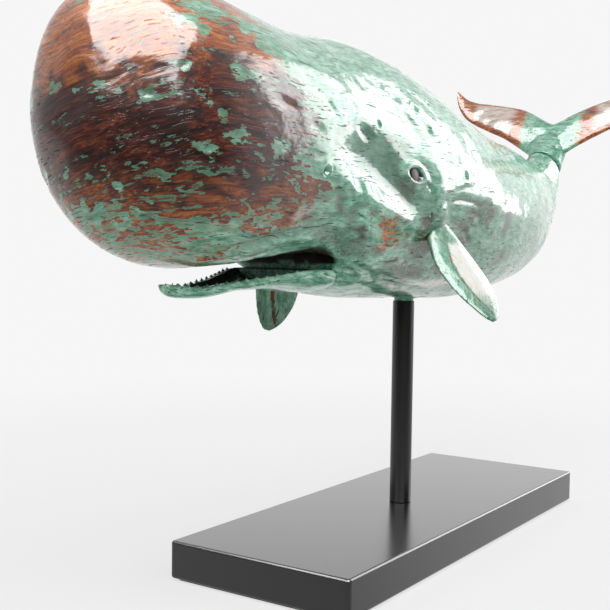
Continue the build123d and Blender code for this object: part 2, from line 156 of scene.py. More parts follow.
@dataclass(frozen=True)
class Wash:
    """An amount that eases in from nothing, at one value of a measure, to its full share at another."""

    share: float
    start: float
    full: float

    def of(self, values: np.ndarray) -> np.ndarray:
        """Work out the amount at each value."""
        place = np.clip((values - self.start) / (self.full - self.start), 0.0, 1.0)
        return self.share * place * place * (3.0 - 2.0 * place)

    def limits(self) -> dict[str, float]:
        """Give the wash as the inputs of a map range node that eases."""
        return {"From Min": self.start, "From Max": self.full, "To Max": self.share}


def add_node(tree: bpy.types.NodeTree, kind: str, settings: dict | None = None, inputs: dict | None = None,
             output: str | int = 0, stops: Stops = ()) -> Socket | None:
    """Add one node with its settings and links.

    Args:
        tree: the node tree that gets it.
        kind: the node's type name.
        settings: values of its attributes.
        inputs: by socket name or number, the output that feeds it, or its value.
        output: name or number of the output that is wanted.
        stops: places on a colour ramp with their hex colours, the lowest first.

    Returns:
        That output, or nothing for a node that has none.
    """
    node = tree.nodes.new(kind)
    for name, value in (settings or {}).items():
        setattr(node, name, value)
    for name, value in (inputs or {}).items():
        if isinstance(value, Socket):
            tree.links.new(value, node.inputs[name])
        else:
            node.inputs[name].default_value = value
    if stops:
        elements = node.color_ramp.elements
        for place, colour in stops[1:-1]:
            elements.new(place).color = linear(colour)
        for end in (0, -1):
            elements[end].position, elements[end].color = stops[end][0], linear(stops[end][1])
    return node.outputs[output] if node.outputs else None


def blend(tree: bpy.types.NodeTree, sources: tuple[Socket, ...], shares: tuple[float, ...]) -> Socket:
    """Add several numbers by their shares.

    Args:
        tree: the node tree that gets the nodes.
        sources: the numbers.
        shares: how much of each is taken.

    Returns:
        The sum.
    """
    total = 0.0
    for source, share in zip(sources, shares):
        inputs = {0: source, 1: share, 2: total}
        total = add_node(tree, "ShaderNodeMath", {"operation": "MULTIPLY_ADD"}, inputs)
    return total


def layers(tree: bpy.types.NodeTree, ground: Socket,
           coats: tuple[tuple[Socket | str, Socket], ...]) -> Socket:
    """Lay colours one over another by their masks.

    Args:
        tree: the node tree that gets the nodes.
        ground: the lowest colour.
        coats: each colour, or its hex digits, with its mask.

    Returns:
        The colour on top.
    """
    for colour, mask in coats:
        top = linear(colour) if isinstance(colour, str) else colour
        ground = add_node(tree, "ShaderNodeMix", COLOURS,
                          {MIX_FACTOR: mask, MIX_UNDER: ground, MIX_OVER: top}, MIX_RESULT)
    return ground


def new_material(name: str) -> tuple[bpy.types.Material, bpy.types.NodeTree]:
    """Make an empty material with nodes.

    Args:
        name: the material's name.

    Returns:
        The material and its node tree.
    """
    material = bpy.data.materials.new(name)
    material.use_nodes = True
    material.node_tree.nodes.clear()
    return material, material.node_tree


class Piece:
    """Helpers that every built piece shares."""

    @staticmethod
    def from_bmesh(name: str, shape: bmesh.types.BMesh, smooth: bool = True) -> bpy.types.Object:
        """Make an object at the origin from a bmesh, and free the bmesh.

        Args:
            name: the object's name.
            shape: the finished shape, in metres.
            smooth: whether its faces are shaded smooth.

        Returns:
            The linked object.
        """
        mesh = bpy.data.meshes.new(name)
        for face in shape.faces:
            face.smooth = smooth
        shape.to_mesh(mesh)
        shape.free()
        piece = bpy.data.objects.new(name, mesh)
        bpy.context.scene.collection.objects.link(piece)
        return piece

    @staticmethod
    def dress(piece: bpy.types.Object, material: bpy.types.Material) -> None:
        """Give a piece one material.

        Args:
            piece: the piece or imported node.
            material: its finish.
        """
        piece.data.materials.clear()
        piece.data.materials.append(material)
        LOG.info("%s: %d faces, %s", piece.name, len(piece.data.polygons), material.name)

    @staticmethod
    def finish(piece: bpy.types.Object, material: bpy.types.Material, slot: str, *nodes: str) -> None:
        """Dress a piece, hang it on the body and let it stand for its nodes.

        Args:
            piece: the finished piece.
            material: its finish.
            slot: the record's material slot; not used.
            nodes: the nodes that it replaces.
        """
        Piece.dress(piece, material)
        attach(piece, BODY)
        if nodes:
            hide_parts(*nodes)


@dataclass(frozen=True)
class View:
    """The photograph's camera, found from the stand's straight edges. Its place is in millimetres."""

    place: tuple[float, float, float] = (-593.62, -321.94, 186.65)
    heading: float = -55.972
    pitch: float = -2.980
    roll: float = 0.7436
    focal_pixels: float = 1024.68
    centre_pixel: tuple[float, float] = (304.0, 305.0)
    sensor_width: float = 36.0
    nearest: float = 0.01
    farthest: float = 30.0

    def axes(self) -> tuple[Vector, Vector, Vector]:
        """Work out where the camera's right, up and forward point.

        Returns:
            Three unit vectors.
        """
        heading, pitch, roll = (math.radians(v) for v in (self.heading, self.pitch, self.roll))
        forward = Vector((
            -math.sin(heading) * math.cos(pitch),
            math.cos(heading) * math.cos(pitch),
            math.sin(pitch),
        ))
        level = Vector((math.cos(heading), math.sin(heading), 0.0))
        upright = level.cross(forward)
        right = level * math.cos(roll) + upright * math.sin(roll)
        up = upright * math.cos(roll) - level * math.sin(roll)
        return right, up, forward

    def eye(self) -> Vector:
        """The camera's place in metres."""
        return Vector(self.place) * MM

    def ray(self, pixel: tuple[float, float]) -> Vector:
        """Work out the direction in which the camera sees a pixel of the photograph.

        Args:
            pixel: its place from the photograph's left and top edges.

        Returns:
            A unit vector.
        """
        right, up, forward = self.axes()
        across = (pixel[0] - self.centre_pixel[0]) / self.focal_pixels
        down = (pixel[1] - self.centre_pixel[1]) / self.focal_pixels
        return (forward + right * across - up * down).normalized()

    def build(self) -> None:
        """Make the camera and set it as the scene's."""
        lens = bpy.data.cameras.new("photo_camera")
        lens.sensor_fit = "HORIZONTAL"
        lens.sensor_width = self.sensor_width
        lens.lens = self.focal_pixels / PHOTO_WIDTH * self.sensor_width
        lens.shift_x = (PHOTO_WIDTH / 2 - self.centre_pixel[0]) / PHOTO_WIDTH
        lens.clip_start = self.nearest
        lens.clip_end = self.farthest
        right, up, forward = self.axes()
        camera = bpy.data.objects.new("photo_camera", lens)
        turn = Matrix((right, up, -forward)).transposed().to_4x4()
        camera.matrix_world = Matrix.Translation(self.eye()) @ turn
        bpy.context.scene.collection.objects.link(camera)
        bpy.context.scene.camera = camera


class Paint(Enum):
    """A paint or shade that is laid on, with the name of its mask on each piece."""

    # The deeper green also holds painted shade, the pale paint also painted highlights and painted light, and
    # the shade is painted shade
    BROWN = "brown"
    WARMTH = "warmth"
    DEEP_AND_SHADE = "deep_and_shade"
    OLIVE = "olive"
    PALE = "pale"
    SHADE = "shade"


@dataclass(frozen=True)
class Blotch:
    """A layer of noise whose blotches are long along the body. Sizes are in millimetres."""

    length: float
    height: float
    detail: float
    shift: float
    roughness: float = 0.6

    def lay(self, tree: bpy.types.NodeTree, place: Socket) -> Socket:
        """Lay the noise.

        Args:
            tree: the material's nodes.
            place: the place on the piece, in metres.

        Returns:
            The noise, from 0 to 1.
        """
        scale = (1 / (self.length * MM), 1 / (self.height * MM), 1 / (self.height * MM))
        fitted = add_node(tree, "ShaderNodeMapping", inputs={
            "Vector": place, "Scale": scale, "Location": (self.shift, self.shift, self.shift)})
        return add_node(tree, "ShaderNodeTexNoise", inputs={
            "Vector": fitted, "Scale": 1.0, "Detail": self.detail, "Roughness": self.roughness})


@dataclass(frozen=True)
class Patina:
    """Hand-painted verdigris on cast resin, under a poured clear varnish.

    The varnish gives broad white reflections. Under it the paint is dragged along the body in streaks, with
    brown and green showing through each other in flecks.
    """

    name: str = "patina_painted_resin_poured_varnish"
    # Noise, from long brush streaks to specks
    streak: Blotch = Blotch(30.0, 3.0, 4.0, 0.0)
    hair: Blotch = Blotch(13.0, 0.9, 2.0, 3.1)
    fleck: Blotch = Blotch(9.5, 3.6, 5.0, 7.3)
    small: Blotch = Blotch(4.2, 1.7, 4.0, 11.9)
    ripple: Blotch = Blotch(16.0, 9.0, 2.0, 29.1)
    speckle: Blotch = Blotch(2.0, 1.5, 2.0, 23.3)
    dash: Blotch = Blotch(15.0, 0.9, 1.0, 17.7)
    # How wide the slow swirls are that bend the brush's run, in millimetres, and how far, in metres
    swirl_size: float = 45.0
    swirl_detail: float = 2.0
    swirl_bend: tuple[float, float, float] = (0.018, 0.012, 0.012)
    # Colours from the darkest grain to the lightest
    dark_brown: Stops = (
        (0.34, "#140604"), (0.44, "#290D07"), (0.52, "#43170C"), (0.60, "#6A2B13"), (0.72, "#934C26"))
    warm_brown: Stops = (
        (0.34, "#421908"), (0.43, "#7C350C"), (0.51, "#A85416"), (0.59, "#C37228"), (0.72, "#D9A05C"))
    green: Stops = (
        (0.36, "#2A644E"), (0.44, "#4B8B70"), (0.50, "#71AC91"), (0.56, "#98C9B0"), (0.66, "#C8E3D5"))
    # Single colours, with how strongly each is laid
    grit_brown: str = "#1C0B06"
    grit: Wash = Wash(0.55, 0.52, 0.68)
    # Deeper green, laid also as painted shade in the sculpted hollows, round the eye and along the fins'
    # leading edges
    deep_green_and_shade: str = "#2A5E46"
    deep_and_shade_share: float = 0.75
    thin_green: str = "#76886A"
    thin_share: float = 0.55
    dash_black: str = "#25332B"
    dashes: Wash = Wash(0.9, 0.645, 0.67)
    # Pale paint: worn white, and also painted highlights on the fins, the lids and the shoulder, a painted
    # reflection on the flukes and painted light from the floor on the throat
    worn_white_and_painted_light: str = "#EDEAE2"
    worn_and_painted_light: Wash = Wash(1.0, 0.6, 1.1)
    stain_olive: str = "#35391E"
    stain_cloud: Wash = Wash(0.95, 0.36, 0.53)
    # Painted shade inside the mouth, the jaw's trough and the eye openings, partly the mouth's own dark paint
    shade_black: str = "#1D150F"
    # Shares of the layers that make up each pattern
    grain_shares: tuple[float, ...] = (0.55, 0.45)
    green_shares: tuple[float, ...] = (0.42, 0.2, 0.38)
    broken_shares: tuple[float, ...] = (1.1, 0.9, 0.9)
    pale_shares: tuple[float, ...] = (1.0, 0.7)
    cloud_shares: tuple[float, ...] = (0.5, 0.2, 0.3)
    relief_shares: tuple[float, ...] = (1.5, 0.22, 0.08, 0.08, -0.12)
    # Half the width of the step from green to brown, and where single hairs of brown are dragged over green
    fleck_edge: float = 0.03
    dragged: Wash = Wash(1.0, 0.42, 0.66)
    # Relief in millimetres and its strength, then the gloss of the paint and of the varnish
    relief: float = 0.4
    relief_strength: float = 0.7
    paint_roughness: tuple[float, float] = (0.34, 0.56)
    paint_ior: float = 1.48
    paint_gloss: float = 0.15
    varnish_roughness: float = 0.12
    varnish_ior: float = 1.52

    def _bent(self, tree: bpy.types.NodeTree, flow: Socket) -> Socket:
        """Bend the brush's run with slow swirls.

        Args:
            tree: the material's nodes.
            flow: the straight run.

        Returns:
            The bent run.
        """
        run = add_node(tree, "ShaderNodeTexNoise", inputs={
            "Vector": flow, "Scale": 1 / (self.swirl_size * MM), "Detail": self.swirl_detail}, output="Color")
        middle = (NOISE_MIDDLE, NOISE_MIDDLE, NOISE_MIDDLE)
        for operation, other in (("SUBTRACT", middle), ("MULTIPLY", self.swirl_bend), ("ADD", flow)):
            run = add_node(tree, "ShaderNodeVectorMath", {"operation": operation}, {0: run, 1: other})
        return run

    def build(self) -> bpy.types.Material:
        """Make the material. It reads the flow and the painted masks that each piece keeps.

        Returns:
            The material.
        """
        material, tree = new_material(self.name)
        flow = add_node(tree, "ShaderNodeAttribute", {"attribute_name": FLOW}, output="Vector")
        bent = self._bent(tree, flow)
        streak, hair, fleck, small, ripple, dash = (
            blotch.lay(tree, bent)
            for blotch in (self.streak, self.hair, self.fleck, self.small, self.ripple, self.dash))
        speckle = self.speckle.lay(tree, flow)
        masks = {paint: add_node(tree, "ShaderNodeAttribute", {"attribute_name": paint.value}, output="Fac")
                 for paint in Paint}

        grain = blend(tree, (streak, hair), self.grain_shares)
        verdigris = blend(tree, (fleck, small, grain), self.green_shares)
        dark, warm, green = (
            add_node(tree, "ShaderNodeValToRGB", inputs={"Fac": source}, stops=stops)
            for source, stops in (
                (grain, self.dark_brown),
                (grain, self.warm_brown),
                (verdigris, self.green),
            ))

        # Masks: each is a number that a wash eases in, and some are thinned by a hand-laid one
        flecks = blend(tree, (masks[Paint.BROWN], fleck, small, streak), (1.0, *self.broken_shares))
        wear_and_painted_light = blend(tree, (masks[Paint.PALE], grain), self.pale_shares)
        clouds = blend(tree, (fleck, small, speckle), self.cloud_shares)
        middle = NOISE_MIDDLE * (1.0 + sum(self.broken_shares))
        step = Wash(1.0, middle - self.fleck_edge, middle + self.fleck_edge)
        grit, dashes, broken, hairs, worn_and_painted_light, cloudy = (
            add_node(tree, "ShaderNodeMapRange", EASED, {"Value": source, **wash.limits()})
            for source, wash in (
                (speckle, self.grit),
                (dash, self.dashes),
                (flecks, step),
                (hair, self.dragged),
                (wear_and_painted_light, self.worn_and_painted_light),
                (clouds, self.stain_cloud),
            ))
        deep_and_shade, thin, dragged, stained, coat = (
            add_node(tree, "ShaderNodeMath", {"operation": operation}, {0: first, 1: second})
            for operation, first, second in (
                ("MULTIPLY", masks[Paint.DEEP_AND_SHADE], self.deep_and_shade_share),
                ("MULTIPLY", masks[Paint.BROWN], self.thin_share),
                ("MULTIPLY", masks[Paint.BROWN], hairs),
                ("MULTIPLY", masks[Paint.OLIVE], cloudy),
                ("SUBTRACT", 1.0, dashes),
            ))
        bare = add_node(tree, "ShaderNodeMath", {"operation": "MAXIMUM"}, {0: broken, 1: dragged})

        brown = layers(tree, dark, ((warm, masks[Paint.WARMTH]), (self.grit_brown, grit)))
        paint = layers(tree, green, (
            (self.deep_green_and_shade, deep_and_shade),
            (self.thin_green, thin),
            (self.dash_black, dashes),
            (brown, bare),
            (self.worn_white_and_painted_light, worn_and_painted_light),
            (self.stain_olive, stained),
            (self.shade_black, masks[Paint.SHADE]),
        ))

        height = blend(tree, (ripple, streak, small, bare, dashes), self.relief_shares)
        normal = add_node(tree, "ShaderNodeBump", inputs={
            "Height": height, "Strength": self.relief_strength, "Distance": self.relief * MM})
        low, high = self.paint_roughness
        shader = add_node(tree, "ShaderNodeBsdfPrincipled", inputs={
            "Base Color": paint,
            "Roughness": add_node(tree, "ShaderNodeMapRange", inputs={
                "Value": fleck, "To Min": low, "To Max": high}),
            "IOR": self.paint_ior,
            "Specular IOR Level": self.paint_gloss,
            "Normal": normal,
            "Coat Weight": coat,
            "Coat Roughness": self.varnish_roughness,
            "Coat IOR": self.varnish_ior,
            "Coat Normal": normal,
        })
        add_node(tree, "ShaderNodeOutputMaterial", inputs={"Surface": shader})
        return material


@dataclass(frozen=True)
class SmoothFinish:
    """A plain hard finish or felt, with a fine relief of its own. Sizes are in millimetres."""

    name: str
    colour: str
    second_colour: str
    roughness: float
    rough_spread: float
    pattern_size: float
    relief: float
    metallic: float = 0.0
    varnish: float = 0.0
    varnish_roughness: float = 0.1
    pattern_detail: float = 4.0
    relief_strength: float = 0.4

    def build(self) -> bpy.types.Material:
        """Make the material.

        Returns:
            The material.
        """
        material, tree = new_material(self.name)
        place = add_node(tree, "ShaderNodeTexCoord", output="Object")
        pattern = add_node(tree, "ShaderNodeTexNoise", inputs={
            "Vector": place, "Scale": 1 / (self.pattern_size * MM), "Detail": self.pattern_detail})
        colour = add_node(tree, "ShaderNodeMix", COLOURS, {
            MIX_FACTOR: pattern,
            MIX_UNDER: linear(self.colour),
            MIX_OVER: linear(self.second_colour),
        }, MIX_RESULT)
        rough = add_node(tree, "ShaderNodeMapRange", inputs={
            "Value": pattern,
            "To Min": self.roughness - self.rough_spread,
            "To Max": self.roughness + self.rough_spread,
        })
        normal = add_node(tree, "ShaderNodeBump", inputs={
            "Height": pattern, "Strength": self.relief_strength, "Distance": self.relief * MM})
        shader = add_node(tree, "ShaderNodeBsdfPrincipled", inputs={
            "Base Color": colour,
            "Metallic": self.metallic,
            "Roughness": rough,
            "Normal": normal,
            "Coat Weight": self.varnish,
            "Coat Roughness": self.varnish_roughness,
        })
        add_node(tree, "ShaderNodeOutputMaterial", inputs={"Surface": shader})
        return material


# A dipped bead: nearly black, and satin enough to stay dark between the lit lids
EYE_GLAZE = SmoothFinish("dark_eye_satin_enamel", "#0B0C0A", "#181B13", 0.45, 0.05, 2.0, 0.01)
# Sprayed and rubbed down on fibreboard: black with a soft grey sheen towards the light
PLINTH_LACQUER = SmoothFinish("fibreboard_black_satin_lacquer", "#0A0A09", "#0F0E0D", 0.24, 0.02, 1.2, 0.015,
                              varnish=0.5, varnish_roughness=0.2)
# Stoved on drawn bar: a narrow grey line of light along the round post
POST_ENAMEL = SmoothFinish("steel_black_satin_enamel", "#0B0A09", "#100F0D", 0.30, 0.03, 0.9, 0.02)
# Pressed from short fibres: no sheen at all, only a dull dark edge under the plinth. The fibres are too fine
# for the render, so their pattern is drawn as coarse as it needs to show
FELT = SmoothFinish("pressed_black_felt", "#0A0A0A", "#1A1A19", 0.95, 0.03, 0.5, 0.3)
# Turned on a lathe: yellow metal whose tool marks spread its highlights, drawn coarser than they are to show
BRASS = SmoothFinish("turned_brass", "#C79A4B", "#B58939", 0.28, 0.08, 0.4, 0.02, metallic=1.0)
# Plated in a barrel: pale bluish metal, whose fine cloudiness is drawn coarser than it is to show
ZINC = SmoothFinish("zinc_plated_steel", "#9FA3A8", "#878C93", 0.34, 0.08, 0.7, 0.02, metallic=1.0)


@dataclass(frozen=True)
class Dent:
    """An oval hollow in the skin, or a swelling if its depth is below zero. Sizes are in millimetres."""

    pixel: tuple[float, float]
    length: float
    height: float
    depth: float
    tilt: float = 0.0
    rim: float = 0.0
    stain: float = 0.0


@dataclass(frozen=True)
class Fold:
    """A ridge along a line on the skin, or a groove if its rise is below zero. Sizes are in millimetres."""

    pixels: tuple[tuple[float, float], ...]
    width: float
    rise: float
    stain: float = 0.0


@dataclass(frozen=True)
class Patch:
    """An oval patch of paint. A strength below zero takes paint away. Sizes are in millimetres."""

    pixel: tuple[float, float]
    length: float
    height: float
    strength: float
    tilt: float = 0.0


@dataclass(frozen=True)
class Lids:
    """The swollen lids round an eye. Sizes are in millimetres.

    A reach counts from the opening's middle, and is 1 at the opening's edge.
    """

    half_length: float = 7.0
    half_height: float = 3.3
    corner: float = 0.12
    tilt: float = -10.0
    # How far the skin rises above the cheek at each reach
    profile: Table = (
        (0.0, -2.8), (0.84, -2.6), (1.0, -0.4), (1.12, 0.5), (1.45, 0.9), (1.85, 0.4), (2.40, 0.0))
    # The ring of untouched cheek that gives the level below the lids, and how the lids fade into it
    cheek: tuple[float, float] = (2.1, 3.0)
    blend: Wash = Wash(1.0, 2.4, 1.8)
    # Painted shade in the opening; the lids' ring, which gets a painted highlight and loses most of the
    # deeper green with its painted shade
    opening_shade: Wash = Wash(1.0, 1.10, 0.98)
    lid_inside: Wash = Wash(1.0, 1.02, 1.16)
    lid_outside: Wash = Wash(1.0, 1.9, 1.5)
    lid_painted_highlight: float = 0.4
    lid_green_loss: float = 0.8


class Sculpt:
    """Moves and paints the points of a smooth skin by listed marks, alike on both sides."""

    # How far a patch's outline may wander, and how soft a dent's rim and a patch's edge are, in reaches
    wobble_range: tuple[float, float] = (0.45, 2.0)
    rim_width: float = 0.28
    patch_edge: Wash = Wash(1.0, 1.0, 0.35)
    # How a fold rises and fades along its line, and what is left of it at its ends
    fold_start: Wash = Wash(1.0, 0.0, 0.25)
    fold_end: Wash = Wash(1.0, 1.0, 0.75)
    fold_end_share: float = 0.1
    # The unevenness is longer along the body than across it by this share's inverse
    swell_stretch: float = 0.6

    def __init__(self, mesh: bpy.types.Mesh, view: View) -> None:
        """Read a skin's points.

        Args:
            mesh: the smooth skin, which is changed by refine and apply.
            view: the photograph's camera, through which pixels are placed.
        """
        self.mesh = mesh
        self.view = view
        self._read()

    def _read(self) -> None:
        """Read the mesh's points and normals, and start with no rise and no paint."""
        count = len(self.mesh.vertices)
        self.points, self.normals = np.zeros((count, 3)), np.zeros((count, 3))
        for name, values in (("co", self.points), ("normal", self.normals)):
            numbers = np.empty(count * 3, np.float32)
            self.mesh.vertices.foreach_get(name, numbers)
            values[:] = numbers.reshape(-1, 3)
        self.rise = np.zeros(count)
        self.paints = {paint: np.zeros(count) for paint in Paint}
        self.wobble = np.ones(count)
        shape = bmesh.new()
        shape.from_mesh(self.mesh)
        self.tree = BVHTree.FromBMesh(shape)
        shape.free()

    def refine(self, spots: list[tuple[Vector, float]]) -> None:
        """Split the faces near some places, so that small forms fit there.

        Args:
            spots: each place with the reach of the finer faces, both in metres.
        """
        shape = bmesh.new()
        shape.from_mesh(self.mesh)
        for middle, reach in spots:
            near = [edge for edge in shape.edges
                    if all((vertex.co - middle).length < reach for vertex in edge.verts)]
            bmesh.ops.subdivide_edges(shape, edges=near, cuts=1, use_grid_fill=True, smooth=0.0)
        for face in shape.faces:
            face.smooth = True
        shape.to_mesh(self.mesh)
        shape.free()
        self.mesh.update()
        self._read()

    def spot(self, pixel: tuple[float, float]) -> tuple[np.ndarray, np.ndarray]:
        """Find the place on the skin that the photograph shows at a pixel.

        Args:
            pixel: its place from the photograph's left and top edges.

        Returns:
            The point and the skin's normal there.
        """
        point, normal, _, _ = self.tree.ray_cast(self.view.eye(), self.view.ray(pixel))
        if point is None:
            raise ValueError(f"no skin at pixel {pixel}")
        return np.array(point), np.array(normal)

    def _reaches(self, mark: Dent | Patch) -> list[np.ndarray]:
        """Work out how far each point lies from an oval mark's middle, where 1 is on its edge.

        Args:
            mark: the dent or patch.

        Returns:
            A number for each point, first for the mark on the side that the photograph shows and then for
            the one on the other side. It is infinite where the skin is on another side.
        """
        point, normal = self.spot(mark.pixel)
        turn = math.radians(mark.tilt)
        reaches = []
        for middle, outward in ((point, normal), (point * OTHER_SIDE, normal * OTHER_SIDE)):
            along = np.array([1.0, 0.0, 0.0])
            along = along - outward * along.dot(outward)
            along /= np.linalg.norm(along)
            across = np.cross(outward, along) * (1.0 if outward[1] < 0 else -1.0)
            long_axis = along * math.cos(turn) + across * math.sin(turn)
            short_axis = across * math.cos(turn) - along * math.sin(turn)
            offset = self.points - middle
            reach = np.hypot(
                offset @ long_axis / (mark.length / 2 * MM),
                offset @ short_axis / (mark.height / 2 * MM),
            )
            level = np.abs(offset @ outward) < max(mark.length, mark.height) * MM
            reaches.append(np.where(level, reach, np.inf))
        return reaches

    def dent(self, dent: Dent) -> None:
        """Press a dent in on both sides.

        Args:
            dent: its place and sizes.
        """
        for reach in self._reaches(dent):
            hollow = (1 - np.minimum(reach, 1) ** 2) ** 2
            rim = np.exp(-((reach - 1.0) / self.rim_width) ** 2)
            self.rise += (-dent.depth * hollow + dent.rim * rim) * MM
            self.paints[Paint.OLIVE] += dent.stain * hollow

    def patch(self, paint: Paint, patch: Patch) -> None:
        """Lay a patch of paint on both sides.

        Args:
            paint: the paint.
            patch: its place and sizes.
        """
        for reach in self._reaches(patch):
            self.paints[paint] += patch.strength * self.patch_edge.of(reach * self.wobble)

    def fold(self, fold: Fold) -> None:
        """Raise a ridge or cut a groove on both sides.

        Args:
            fold: its line and sizes.
        """
        line = np.array([self.spot(pixel)[0] for pixel in fold.pixels])
        for path in (line, line * OTHER_SIDE):
            nearest = np.full(len(self.points), np.inf)
            ends = np.zeros(len(self.points))
            for count, (start, end) in enumerate(zip(path, path[1:])):
                step = end - start
                share = np.clip((self.points - start) @ step / step.dot(step), 0, 1)
                gap = np.linalg.norm(self.points - (start + share[:, None] * step), axis=1)
                closer = gap < nearest
                nearest = np.where(closer, gap, nearest)
                ends = np.where(closer, (count + share) / (len(path) - 1), ends)
            fade = self.fold_start.of(ends) * self.fold_end.of(ends)
            fade = self.fold_end_share + (1 - self.fold_end_share) * fade
            form = (1 - np.minimum(nearest / (fold.width / 2 * MM), 1) ** 2) ** 2 * fade
            self.rise += fold.rise * form * MM
            self.paints[Paint.OLIVE] += fold.stain * form

    def open_eye(self, middle: Vector, lids: Lids) -> None:
        """Shape the lids and the opening of one eye, with painted shade in the opening and a painted
        highlight on the lids.

        Args:
            middle: the eye's middle, in metres.
            lids: the lids' sizes.
        """
        side = -1.0 if middle.y < 0 else 1.0
        moved = self.points + self.normals * self.rise[:, None]
        offset = (moved - np.array(middle)) / MM
        turn = math.radians(lids.tilt)
        along = offset[:, 0] * math.cos(turn) + offset[:, 2] * math.sin(turn)
        up = offset[:, 2] * math.cos(turn) - offset[:, 0] * math.sin(turn)
        out = offset[:, 1] * side
        long_share = np.abs(along) / np.hypot(along, up)
        half_height = lids.half_height * (1 - lids.corner * long_share ** 3)
        reach = np.hypot(along / lids.half_length, up / half_height)
        reach = np.where(out > -lids.half_length, reach, np.inf)
        # The cheek's own curved level under the lids, fitted to the ring round them
        terms = np.stack([np.ones(len(along)), along, up, along ** 2, along * up, up ** 2], axis=1)
        ring = (reach > lids.cheek[0]) & (reach < lids.cheek[1])
        level = terms @ np.linalg.lstsq(terms[ring], out[ring], rcond=None)[0]
        form = level + read_table(lids.profile, reach)
        share = lids.blend.of(reach)
        zone = share > 0
        moved[:, 1] = (out + (form - out) * share) * side * MM + middle.y
        self.points[zone] = moved[zone]
        self.rise[zone] = 0.0
        self.paints[Paint.SHADE] += lids.opening_shade.of(reach)
        lid = lids.lid_inside.of(reach) * lids.lid_outside.of(reach)
        self.paints[Paint.PALE] += lids.lid_painted_highlight * lid
        self.paints[Paint.DEEP_AND_SHADE] *= 1 - lids.lid_green_loss * lid

    def roughen(self, *swells: Swell) -> None:
        """Add slow natural unevenness.

        Args:
            swells: for each layer its width and height in millimetres, and an offset that makes it differ.
        """
        for size, height, seed in swells:
            self.rise += self._swell(size, seed) * height * MM

    def loosen(self, size: float, share: float, seed: float) -> None:
        """Make the outlines of the patches that follow irregular.

        Args:
            size: width of their bays, in millimetres.
            share: how deep the bays are, as a share of a patch's size.
            seed: an offset that makes each call differ.
        """
        self.wobble = np.clip(1 + self._swell(size, seed) * share, *self.wobble_range)

    def _swell(self, size: float, seed: float) -> np.ndarray:
        """Work out slow noise over the points.

        Args:
            size: width of its swellings, in millimetres.
            seed: an offset that makes each call differ.

        Returns:
            A number from -1 to 1 for each point.
        """
        scale = 1 / (size * MM)
        return np.array([noise.noise(Vector((x * scale * self.swell_stretch + seed, y * scale, z * scale)))
                         for x, y, z in self.points])

    def apply(self, flow: np.ndarray | None = None) -> None:
        """Move the mesh's points along their normals and keep its masks and its flow.

        Args:
            flow: where each point lies on the brush's run, in metres. Without it that is its own place.
        """
        moved = self.points + self.normals * self.rise[:, None]
        self.mesh.vertices.foreach_set("co", moved.astype(np.float32).ravel())
        self.mesh.update()
        for paint, values in self.paints.items():
            layer = self.mesh.attributes.new(paint.value, "FLOAT", "POINT")
            layer.data.foreach_set("value", np.clip(values, 0.0, 1.0).astype(np.float32))
        run = self.points if flow is None else flow
        layer = self.mesh.attributes.new(FLOW, "FLOAT_VECTOR", "POINT")
        layer.data.foreach_set("vector", run.astype(np.float32).ravel())


def outer_shell(node: bpy.types.Object) -> bmesh.types.BMesh:
    """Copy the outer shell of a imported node, without the walls of its hollows.

    Args:
        node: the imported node's object, which stays as it is.

    Returns:
        The shell with its points merged.
    """
    shape = bmesh.new()
    shape.from_mesh(node.data)
    bmesh.ops.remove_doubles(shape, verts=shape.verts, dist=MERGE_GAP * MM)
    shells = []
    seen = set()
    for start in shape.verts:
        if start.index in seen:
            continue
        shell = [start]
        seen.add(start.index)
        for vertex in shell:
            for edge in vertex.link_edges:
                other = edge.other_vert(vertex)
                if other.index not in seen:
                    seen.add(other.index)
                    shell.append(other)
        shells.append(shell)
    outer = max(shells, key=lambda shell: max(v.co.x for v in shell) - min(v.co.x for v in shell))
    keep = {vertex.index for vertex in outer}
    inner = [vertex for vertex in shape.verts if vertex.index not in keep]
    bmesh.ops.delete(shape, geom=inner, context="VERTS")
    return shape


@dataclass
class Casting:
    """What every casting of the whale needs to become an even, smooth skin. Sizes are in millimetres."""

    frame: dict
    view: View
    cell: float = 0.8
    smooth_rounds: int = 4
    smooth_share: float = 0.5
    row_length: float = 1.5

    def start(self, name: str, node: str) -> tuple[bpy.types.Object, Sculpt]:
        """Make an even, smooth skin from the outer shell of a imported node.

        Args:
            name: the new piece's name.
            node: the node's name.

        Returns:
            The new piece and the sculptor of its skin.
        """
        rough = Piece.from_bmesh(name + "_rough", outer_shell(self.frame["nodes"][node]))
        even = rough.modifiers.new("even", "REMESH")
        even.mode = "VOXEL"
        even.voxel_size = self.cell * MM
        evaluated = rough.evaluated_get(bpy.context.evaluated_depsgraph_get())
        mesh = bpy.data.meshes.new_from_object(evaluated)
        old = rough.data
        bpy.data.objects.remove(rough)
        bpy.data.meshes.remove(old)
        shape = bmesh.new()
        shape.from_mesh(mesh)
        bpy.data.meshes.remove(mesh)
        for _ in range(self.smooth_rounds):
            bmesh.ops.smooth_vert(shape, verts=shape.verts, factor=self.smooth_share, use_axis_x=True,
                                  use_axis_y=True, use_axis_z=True)
        piece = Piece.from_bmesh(name, shape)
        return piece, Sculpt(piece.data, self.view)


